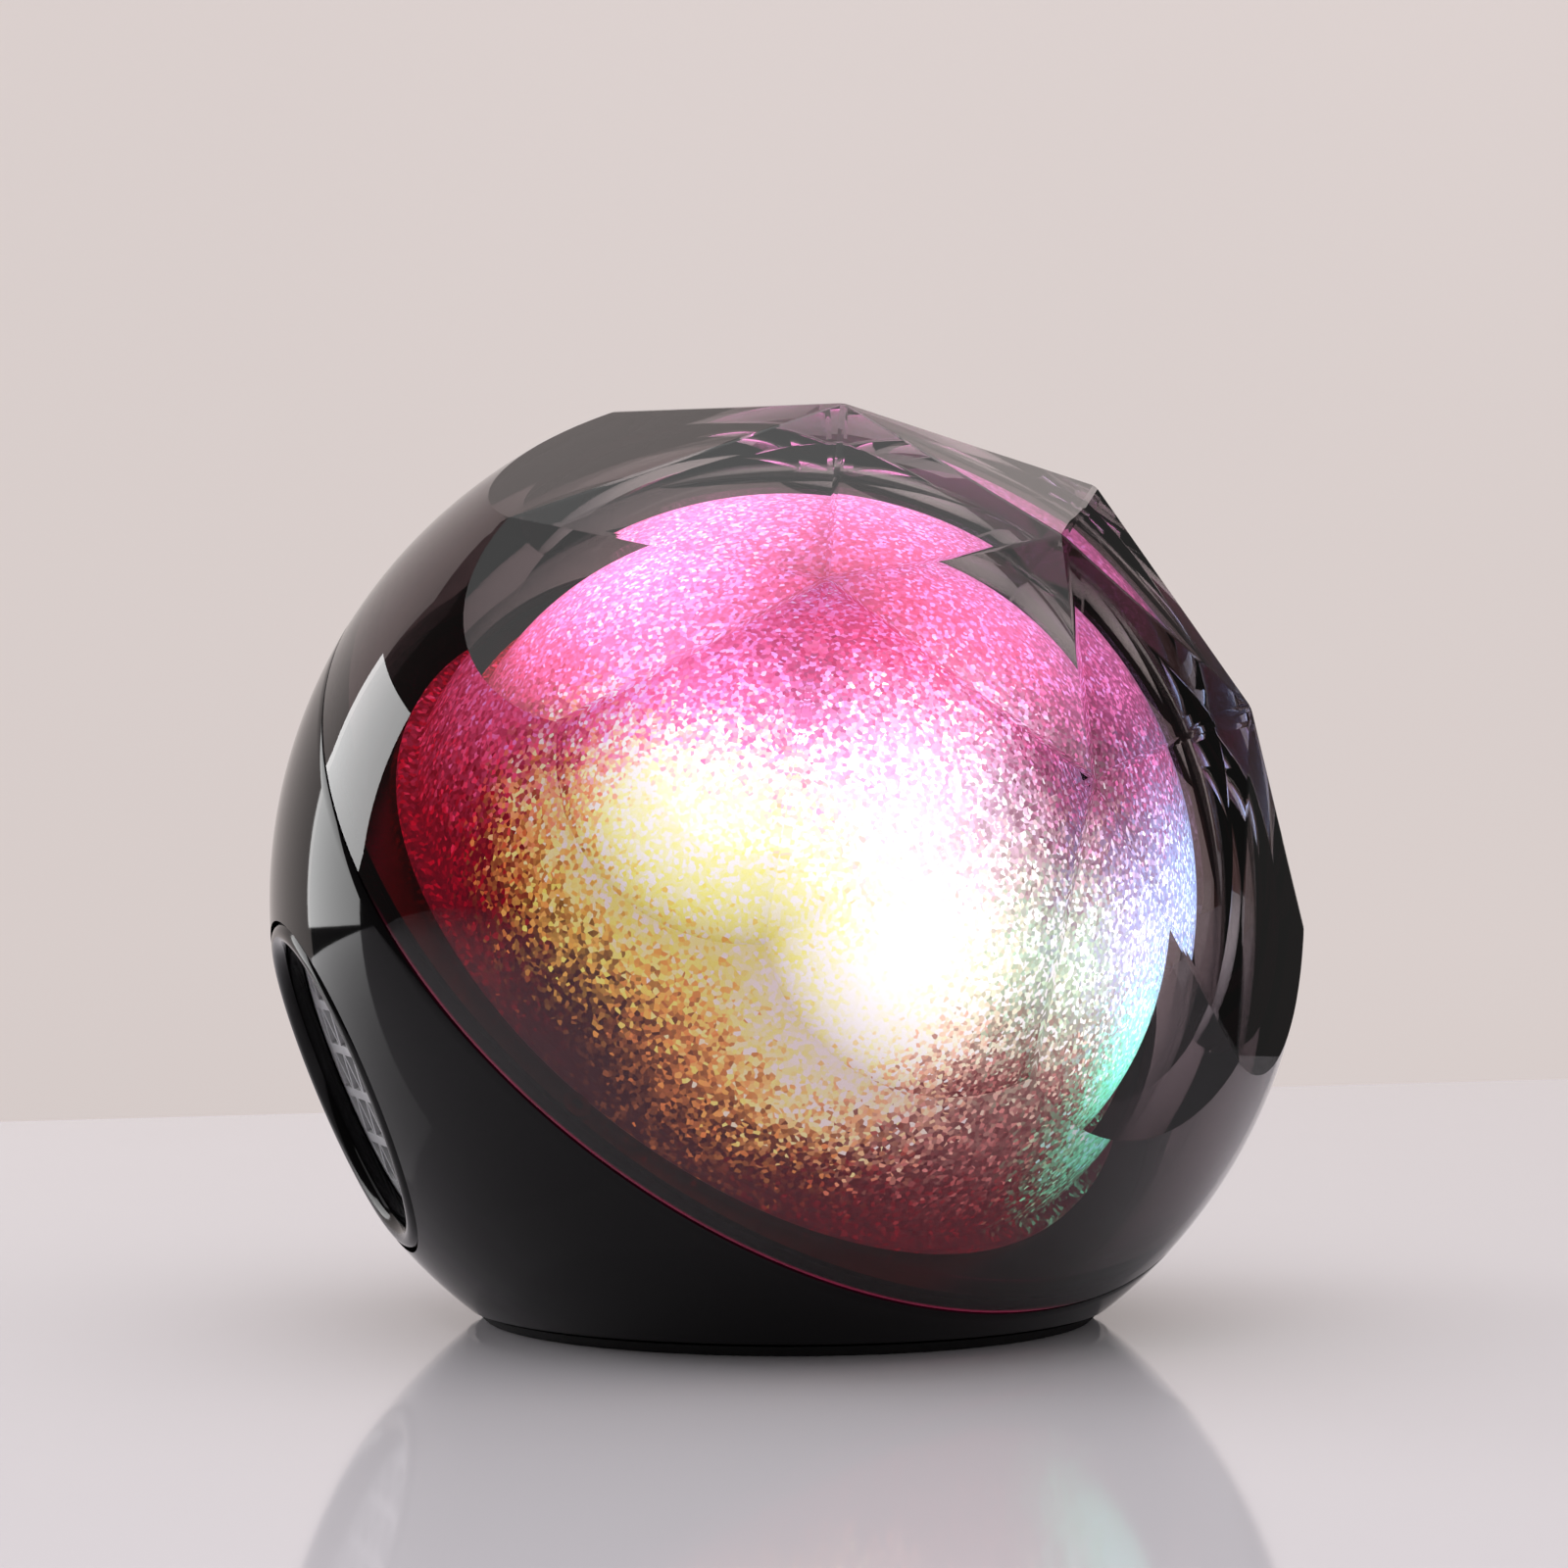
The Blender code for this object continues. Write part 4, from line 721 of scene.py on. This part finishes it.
class LAMP_OT_clear_dome(Operator):
    """Builds the smoked clear dome with its flat facets"""

    bl_idname = "lamp.clear_dome"
    bl_label = "Clear dome"

    def execute(self, context):
        size = sizes()
        low = -size.seam / 2 - size.tongue_depth
        dome = ball("smoked_dome", size.radius, 192, 96)
        slice_off(dome, ((0, 0, size.seam / 2), (0, 0, -1)), *facets())
        bevel(dome, size.facet_edge, 2, lambda edge: edge.calc_length() > 0.01 and steep(5)(edge))
        tongue = ring("tongue", size.tongue - size.tongue_wall, size.tongue, low, -low, 160)
        combine(dome, "UNION", tongue)
        combine(dome, "DIFFERENCE", ball("dome_hollow", size.radius - size.wall, 128, 64))
        smooth(dome, 30)
        skin = dome.data
        skin.materials.append(smoked_acrylic())
        skin.materials.append(light_piping_rim())
        # Painted shade: each facet, and the outer skin between the facets, is given its own share of
        # light
        painted_shades = skin.attributes.new("facet_shade", "FLOAT", "FACE").data
        painted_facets = list(zip(facets(), FACET_PAINTED_SHADES))
        for face in skin.polygons:
            outward = face.normal.dot(face.center) > 0
            painted_shades[face.index].value = SKIN_PAINTED_SHADE if outward else 1.0
            for (corner, normal), shade in painted_facets:
                in_plane = abs((face.center - corner).dot(normal)) < FINE
                if in_plane and face.normal.dot(normal) > 0.9999:
                    painted_shades[face.index].value = shade
            if face.area > 2e-5:  # only a facet is as large
                face.use_smooth = False
            heights = [skin.vertices[corner].co.z for corner in face.vertices]
            face.material_index = int(max(heights) < size.seam / 2 + FINE)
        carry(dome, dome_line())
        dressed(dome, "casing", "smoked_clear", "clear_dome")
        return {"FINISHED"}


class LAMP_OT_glitter_dome(Operator):
    """Builds the glittering inner dome on its flange"""

    bl_idname = "lamp.glitter_dome"
    bl_label = "Glittering dome"

    def execute(self, context):
        size = sizes()
        low = -size.seam / 2 - size.tongue_depth
        high = low + size.glitter_wall
        inner = size.glitter - size.glitter_wall
        flange = size.glitter + size.glitter_flange
        edge = 0.0003
        profile = arc(inner, 90, 0, 40)
        profile += [(inner, low), (flange - edge, low), (flange, low + edge), (flange, high - edge)]
        profile += [(flange - edge, high), (size.glitter + edge, high), (size.glitter, high + edge)]
        profile += arc(size.glitter, 0, 90, 48)[1:]
        dome = turned("glitter_dome_sprayed", profile, 160)
        smooth(dome, 40)
        carry(dome, dome_line())
        dressed(dome, "casing", "glitter", "glitter_dome", glittered_diffuser())
        return {"FINISHED"}


class LAMP_OT_housing(Operator):
    """Builds the gloss black housing with its openings"""

    bl_idname = "lamp.housing"
    bl_label = "Housing"

    def execute(self, context):
        size = sizes()
        grille = context.scene.grille_sizes
        panel = context.scene.panel_sizes
        width, height = pocket_size()
        beyond = size.radius + PAST
        bore = size.radius - size.housing_wall
        # Along a loudspeaker's line: its seat's face and back
        rim = grille.rim + size.seam
        seat_face = reach(size.radius, grille.rim) - grille.seat
        seat_back = seat_face - 0.0014
        # Along the panel's line: the face and back of the shelf that it lies on
        shelf_face = panel_heights()[1] - GAP
        shelf_back = shelf_face - 0.0012
        # Along the dome's line: the top of the ledge under the domes, and the ledge's inner radius
        ledge_top = -size.seam / 2 - size.tongue_depth - 0.0026
        ledge_bore = bore - 0.0045

        housing = ball("gloss_housing", size.radius, 256, 128)
        slice_off(housing, ((0, 0, -size.seam / 2), (0, 0, 1)))
        bevel(housing, 0.00015, 2, rim_at(-size.seam / 2))
        carry(housing, dome_line())
        slice_off(housing, ((0, 0, PAD_HIGH.z + GAP), (0, 0, -1)))

        # The hollow leaves the floor, the loudspeakers' bosses, the panel's collar and the ledge
        hollow = ball("hollow", bore, 96, 48)
        carry(hollow, dome_line())
        slice_off(hollow, ((0, 0, 0.0065), (0, 0, -1)))
        for side in SIDES:
            boss = drum("seat_boss", rim + 0.0019, seat_back, beyond, 96)
            combine(hollow, "DIFFERENCE", carry(boss, side_line(side)))
        collar = block(
            "collar", width + 0.004, height + 0.004, shelf_back, beyond, panel.corner + 0.002
        )
        combine(hollow, "DIFFERENCE", carry(collar, panel_line()))
        ledge = ring("ledge", ledge_bore, beyond, ledge_top - 0.002, ledge_top, 96)
        combine(hollow, "DIFFERENCE", carry(ledge, dome_line()))

        seat = [(0, seat_back - PAST), (grille.sound_hole, seat_back - PAST)]
        seat += [(grille.sound_hole, seat_face), (rim, seat_face), (rim, beyond), (0, beyond)]
        mouth = drum("mid_seat", size.tongue + GAP, ledge_top, beyond, 160)
        cuts = [hollow, carry(mouth, dome_line())]
        cuts.append(drum("floor_opening", 0.024, -PAST, 0.0125, 96))
        cuts.append(drum("plate_recess", 0.0303, -PAST, 0.004, 96))
        cuts += [carry(turned("rim_seat", seat, 128), side_line(side)) for side in SIDES]
        pocket = block("pocket", width, height, shelf_face, beyond, panel.corner + GAP, 12)
        cuts.append(carry(pocket, panel_line()))
        inset = 0.0034
        window = block(
            "window", width - inset, height - inset, shelf_back - PAST, beyond, panel.corner, 8
        )
        cuts.append(carry(window, panel_line()))
        combine(housing, "DIFFERENCE", *cuts)
        smooth(housing, 30)
        dressed(housing, "casing", "black_gloss", "rear_housing", finish("gloss_abs"))
        return {"FINISHED"}


class LAMP_OT_grilles(Operator):
    """Builds the raised rims and the grilles of both loudspeakers"""

    bl_idname = "lamp.grilles"
    bl_label = "Grilles"

    def execute(self, context):
        size = context.scene.grille_sizes
        side_cap = reach(sizes().radius, size.rim)
        seat_face = side_cap - size.seat
        lip = side_cap - size.grille_depth + GAP
        crown = size.rim_width / 2
        middle = (size.rim - crown, side_cap + size.crown - crown)
        pocket = size.grille + GAP
        profile = arc(crown, 0, 180, 16, middle)
        profile += [(size.rim - size.rim_width, lip), (pocket, lip), (pocket, seat_face + GAP)]
        profile += [(size.rim - 0.0002, seat_face + GAP), (size.rim, seat_face + 0.0005)]
        profile += [(size.rim, middle[1])]
        gloss = finish("rim_abs")
        paint = finish("grille_paint")
        for side in SIDES:
            rim = turned(f"{side}_rim_rounded", profile, 144)
            smooth(rim, 35)
            carry(rim, side_line(side))
            dressed(rim, "casing", "black_gloss", f"{side}_grille_rim", gloss)
            grille = copy_of(f"{side}_grille", f"{side}_grille_rounded")
            bevel(grille, size.bar_edge, 2, steep(50), clamp_overlap=True)
            smooth(grille, 35)
            dressed(grille, "casing", "black_satin", f"{side}_grille", paint)
        return {"FINISHED"}


class LAMP_OT_foot(Operator):
    """Builds the rubber foot with its rounded edge and grip rings"""

    bl_idname = "lamp.foot"
    bl_label = "Foot"

    def execute(self, context):
        low = reach(sizes().radius, sizes().height)
        high = PAD_HIGH.x
        top = PAD_HIGH.z
        slope = (high - low) / top
        profile = [(0, 0.0003), (0.012, 0.0003), (0.0123, 0.0)]
        for start in (0.016, 0.020, 0.024, 0.028):
            profile += [(start, 0.0), (start + 0.0003, 0.0004)]
            profile += [(start + 0.0009, 0.0004), (start + 0.0012, 0.0)]
        profile += [(low - 0.0003, 0), (low + 0.0001, 0.0001), (low + slope * 0.0004, 0.0004)]
        profile += [(high - slope * 0.0002, top - 0.0002), (high - 0.0001, top - 0.00005)]
        profile += [(high - 0.0003, top), (0, top)]
        foot = turned("foot_pad_ringed", profile, 144)
        smooth(foot, 35)
        dressed(foot, "casing", "foot_rubber", "foot_pad", finish("moulded_rubber"))
        return {"FINISHED"}


class LAMP_OT_panel(Operator):
    """Builds the control panel with its openings and the posts for the circuit board"""

    bl_idname = "lamp.panel"
    bl_label = "Control panel"

    def execute(self, context):
        size = context.scene.panel_sizes
        face, back, on_board = panel_heights()
        panel = block(
            "control_panel_rounded", size.width, size.height, back, face, size.corner, 12
        )
        low = back - 0.004
        high = face + 0.004
        row = -size.row
        cuts = [
            drum("button_hole", size.button + GAP, low, high, 48, (size.pitch * step, size.row))
            for step in (-1.5, -0.5, 0.5, 1.5)
        ]
        cuts.append(block("usb_hole", 0.0086, 0.0038, low, high, 0.0018, 10, (USB_ACROSS, row)))
        cuts.append(block("slot", 0.0046, 0.0022, low, high, 0.0004, 4, (SLOT_ACROSS, row)))
        cuts.append(drum("aux_hole", 0.0032, low, high, 48, (AUX_ACROSS, row)))
        cuts.append(drum("lens_hole", 0.0012, low, high, 32, (LENS_ACROSS, 0)))
        combine(panel, "DIFFERENCE", *cuts)
        bevel(panel, 0.0003, 3, rim_at(face))
        posts = []
        for across in POSTS_ACROSS:
            post = drum("post", 0.0019, on_board, back + size.thickness / 2, 32, (across, 0))
            pilot = drum("pilot", 0.0009, on_board - 0.002, back, 24, (across, 0))
            combine(post, "DIFFERENCE", pilot)
            posts.append(post)
        combine(panel, "UNION", *posts)
        smooth(panel, 35)
        for skin in panel.data.polygons:
            skin.use_smooth = skin.use_smooth and abs(skin.normal.z) < 0.999
        carry(panel, panel_line())
        dressed(panel, "casing", "black_satin", "control_panel", finish("satin_abs"))
        return {"FINISHED"}


def triangle(name, size, low, high, place, way):
    """An upright three-sided prism that points along X, forwards or backwards."""
    return rotated(drum(name, size, low, high, 3, place), TURN / 4 * way, (*place, low))


def symbol(name, low, high):
    """The raised sign on a button: a sun, a pair of arrows, or an arrow with two bars."""
    if name == "light_button":
        parts = [drum("sun", 0.00055, low, high, 24)]
        for step in range(8):
            ray = block("ray", 0.00055, 0.0002, low, high, place=(0.0012, 0))
            parts.append(rotated(ray, TURN * step / 8, (0, 0, low)))
        return parts
    if name == "play_button":
        arrow = triangle("arrow", 0.00085, low, high, (-0.0006, 0), 1)
        bars = [block("bar", 0.0003, 0.0014, low, high, place=(x, 0)) for x in (0.0006, 0.0012)]
        return [arrow, *bars]
    way = {"previous_button": -1, "next_button": 1}[name]
    return [triangle("arrow", 0.00075, low, high, (x, 0), way) for x in (-0.00052, 0.00052)]


class LAMP_OT_buttons(Operator):
    """Builds the four buttons with their dished tops and raised signs"""

    bl_idname = "lamp.buttons"
    bl_label = "Buttons"

    def execute(self, context):
        size = context.scene.panel_sizes
        face, back, on_board = panel_heights()
        top = face + size.proud
        high = back - GAP
        low = high - 0.0008
        rounding = 0.0005
        stem = on_board + 0.0043  # above the tact switch, the travel and a clearance
        collar = size.button + 0.0008
        flat = size.button - rounding
        profile = [(0, stem), (0.0013, stem), (0.0013, low)]
        profile += [(collar, low), (collar, high), (size.button, high)]
        profile += arc(rounding, 0, 90, 6, (flat, top - rounding))
        profile += [(flat * share, top - size.dish * (1 - share**2)) for share in (0.75, 0.5, 0.25, 0)]
        satin = finish("satin_abs")
        paint = finish("printed_sign")
        for step, name in enumerate(BUTTONS):
            button = turned(f"{name}_dished", profile, 64)
            smooth(button, 40)
            button.data.materials.append(satin)
            signs = symbol(name, top - size.dish - 0.0001, top - size.dish + 0.00014)
            for sign in signs:
                sign.data.materials.append(paint)
            joined(button, *signs)
            carry(button, panel_line(size.pitch * (step - 1.5), size.row))
            dressed(button, name, "black_satin", name)
        return {"FINISHED"}


class LAMP_OT_sockets(Operator):
    """Builds the charging socket, the audio socket, the power switch's knob and the status lens"""

    bl_idname = "lamp.sockets"
    bl_label = "Sockets, switch and lens"

    def execute(self, context):
        row = -context.scene.panel_sizes.row
        face, back, on_board = panel_heights()
        plated = finish("zinc_plate")
        satin = finish("satin_abs")
        gilt = finish("gilt_contact")

        # The charging socket: a plated shell, and a tongue with gilt contacts in it
        front = face - 0.0005
        shell = block("usb_shell", 0.008, 0.0032, on_board, front, 0.0015, 10)
        hole = block("usb_slot", 0.0072, 0.0024, front - 0.006, front + 0.002, 0.0011, 10)
        combine(shell, "DIFFERENCE", hole)
        bevel(shell, 0.0001, 2, rim_at(front))
        smooth(shell, 35)
        shell.data.materials.append(plated)
        tongue = block("usb_tongue", 0.0062, 0.0007, front - 0.0062, front - 0.001, 0.0003, 4)
        tongue.data.materials.append(satin)
        strips = []
        for step in range(8):
            place = ((step - 3.5) * 0.0007, 0)
            strip = block("contact", 0.0003, 0.00076, front - 0.005, front - 0.0014, place=place)
            strip.data.materials.append(gilt)
            strips.append(strip)
        joined(shell, tongue, *strips)
        carry(shell, panel_line(USB_ACROSS, row))
        dressed(shell, "casing", "steel", "usb_socket")

        # The audio socket: a body behind the panel, a barrel through it, and a plated bore
        top = back - GAP
        socket = block("aux_socket_lined", 0.0064, 0.0064, on_board, top, 0.0005, 3)
        barrel = [(0, top - 0.002), (0.0029, top - 0.002), (0.0029, face - 0.0003)]
        barrel += [(0.0026, face), (0, face)]
        bore = [(0, face - 0.008), (0.0018, face - 0.008), (0.0018, face - 0.0004)]
        bore += [(0.0022, face + 0.00001), (0.0022, face + 0.001), (0, face + 0.001)]
        combine(socket, "UNION", turned("aux_barrel", barrel, 64))
        combine(socket, "DIFFERENCE", turned("aux_bore", bore, 64))
        smooth(socket, 35)
        socket.data.materials.append(satin)
        socket.data.materials.append(plated)
        for skin in socket.data.polygons:
            middle = skin.center
            in_bore = middle.xy.length < 0.00185 and middle.z > face - 0.0079
            skin.material_index = int(in_bore)
        carry(socket, panel_line(AUX_ACROSS, row))
        dressed(socket, "casing", "black_satin", "aux_socket")

        # The power switch's knob, with grooves across its top
        crest = face + 0.001
        knob = block("power_slider_ribbed", 0.002, 0.0016, on_board + 0.0024, crest, 0.0002, 3)
        for across in (-0.0006, -0.0002, 0.0002, 0.0006):
            groove = block("groove", 0.00022, 0.003, crest - 0.0002, crest + 0.0004, place=(across, 0))
            combine(knob, "DIFFERENCE", groove)
        bevel(knob, 0.00005, 2, rim_at(crest))
        smooth(knob, 35)
        carry(knob, panel_line(KNOB_ACROSS, row))
        dressed(knob, "power_slider", "black_satin", "power_slider", satin)

        # The status lens, a clear pin with a low dome
        radius = 0.0009
        rise = 0.0003
        profile = [(0, face - 0.0032), (radius, face - 0.0032), (radius, face - rise)]
        for step in range(1, 6):
            turn = step * 0.26
            profile.append((radius * cos(turn), face - rise + rise * sin(turn)))
        lens = turned("status_lens_domed", [*profile, (0, face)], 48)
        smooth(lens, 40)
        carry(lens, panel_line(LENS_ACROSS))
        glow = lamp_lens("status_lens_glow", "#9fc4ff", 0.8)
        dressed(lens, "casing", "white_plastic", "status_lens", glow)
        return {"FINISHED"}


class LAMP_OT_inside(Operator):
    """Gives the pieces inside, which keep their shapes, their finishes"""

    bl_idname = "lamp.inside"
    bl_label = "Finishes inside"

    def execute(self, context):
        materials = {}
        for name, kinds in INSIDE.items():
            materials.update(dict.fromkeys(kinds, finish(name)))
        for name, code in LED_HEX.items():
            materials[f"led_{name}"] = lamp_lens(f"led_lens_{name}", code, 1.0)
        for name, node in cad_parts.items():
            kind = name.removeprefix("left_").removeprefix("right_").rstrip("_0123456789")
            if kind in materials:
                node.data.materials.clear()
                node.data.materials.append(materials[kind])
        return {"FINISHED"}


class LAMP_OT_stage(Operator):
    """Builds the table, the wall, the lights and the camera"""

    bl_idname = "lamp.stage"
    bl_label = "Stage"

    def execute(self, context):
        heading = radians(-42.685)
        eye = Vector((-0.314784, -0.340651, 0.059794))
        under_eye = Matrix.Translation(eye.xy.to_3d()) @ Matrix.Rotation(heading, 4, "Z")

        # The table's far edge runs a little askew to the view, and the wall stands behind it
        edge = under_eye @ Matrix.Translation((0, 0.778, 0)) @ Matrix.Rotation(radians(19.6), 4, "Z")
        lie = edge @ Matrix.Translation((0, -1.5, 0)) @ Matrix.Diagonal((4, 3, 1, 1))
        stand = under_eye @ Matrix.Translation((-0.53, 1.6, 0.275)) @ Matrix.Rotation(TURN / 4, 4, "X")
        stand = stand @ Matrix.Diagonal((2.0, 2.05, 1, 1))
        table = primitive(bpy.ops.mesh.primitive_plane_add, "table", size=1)
        carry(table, lie)
        table.data.materials.append(finish("lacquered_table"))
        wall = primitive(bpy.ops.mesh.primitive_plane_add, "wall", size=1)
        carry(wall, stand)
        wall.data.materials.append(painted_wall())

        # Each softbox: its bearing to the left of the view and its rise in degrees, its distance
        # from the ball's centre, its width and height, and its power in watts
        for name, bearing, rise, distance, width, height, power in (
            ("side_softbox", 67, 11, 0.60, 0.25, 0.32, 1.15),
            ("top_softbox", 20, 88, 1.0, 1.6, 1.6, 8.0),
        ):
            light = bpy.data.lights.new(name, "AREA")
            light.shape = "RECTANGLE"
            light.size = width
            light.size_y = height
            light.energy = power
            lamp = bpy.data.objects.new(name, light)
            context.collection.objects.link(lamp)
            lamp.visible_camera = False
            lamp.visible_transmission = False
            turn = heading + radians(bearing)
            rise = radians(rise)
            flat = cos(rise)
            away = Vector((-sin(turn) * flat, cos(turn) * flat, sin(rise)))
            lamp.location = Vector((0, 0, sizes().height)) + away * distance
            lamp.rotation_euler = away.to_track_quat("Z", "Y").to_euler()

        # The room: pale to the eye, soft on surfaces, dark in mirrors and pinkish through the dome
        world = bpy.data.worlds.new("studio")
        context.scene.world = world
        world.use_nodes = True
        tree = world.node_tree
        tree.nodes.clear()
        path = add(tree, "LightPath", {}).outputs
        shown = add(tree, "Background", {"Color": linear("#fbf8f6"), "Strength": 0.55})
        for ray, tint, strength in (
            ("Glossy", linear("#fbf8f6"), 0.06),
            ("Transmission", linear("#b88480"), 0.2),
            ("Camera", colours().wall[:], 1.0),
        ):
            room = add(tree, "Background", {"Color": tint, "Strength": strength})
            shown = add(tree, "MixShader", {0: path[f"Is {ray} Ray"], 1: shown, 2: room})
        add(tree, "OutputWorld", {"Surface": shown})

        lens = bpy.data.cameras.new("camera")
        lens.sensor_width = 36
        lens.lens = 94.5
        lens.clip_start = 0.01
        camera = bpy.data.objects.new("camera", lens)
        context.collection.objects.link(camera)
        camera.location = eye
        camera.rotation_euler = (TURN / 4, 0, heading)
        context.scene.camera = camera
        context.scene.view_settings.view_transform = "Standard"
        return {"FINISHED"}


class LAMP_PT_panel(Panel):
    """Lists the lamp's pieces and sizes"""

    bl_label = "Ball lamp"
    bl_idname = "LAMP_PT_panel"
    bl_space_type = "VIEW_3D"
    bl_region_type = "UI"
    bl_category = "Ball lamp"

    def draw(self, context):
        for operator in OPERATORS:
            self.layout.operator(operator.bl_idname)
        for group in GROUPS:
            column = self.layout.column()
            settings = getattr(context.scene, group)
            for name in settings.__annotations__:
                column.prop(settings, name)


GROUPS = {
    "ball_sizes": BallSizes,
    "grille_sizes": GrilleSizes,
    "panel_sizes": PanelSizes,
    "lamp_colours": LampColours,
}
OPERATORS = (
    LAMP_OT_clear_dome,
    LAMP_OT_glitter_dome,
    LAMP_OT_housing,
    LAMP_OT_grilles,
    LAMP_OT_foot,
    LAMP_OT_panel,
    LAMP_OT_buttons,
    LAMP_OT_sockets,
    LAMP_OT_inside,
    LAMP_OT_stage,
)


def register():
    """The panel, its settings and its operators become known to Blender."""
    for name, group in GROUPS.items():
        bpy.utils.register_class(group)
        setattr(bpy.types.Scene, name, bpy.props.PointerProperty(type=group))
    for operator in OPERATORS:
        bpy.utils.register_class(operator)
    bpy.utils.register_class(LAMP_PT_panel)


def unregister():
    """They are taken out again."""
    bpy.utils.unregister_class(LAMP_PT_panel)
    for operator in reversed(OPERATORS):
        bpy.utils.unregister_class(operator)
    for name, group in reversed(GROUPS.items()):
        delattr(bpy.types.Scene, name)
        bpy.utils.unregister_class(group)


def main():
    """Builds the whole lamp."""
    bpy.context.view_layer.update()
    register()
    for operator in OPERATORS:
        getattr(bpy.ops.lamp, operator.bl_idname.removeprefix("lamp."))()


if __name__ == "__main__":
    main()
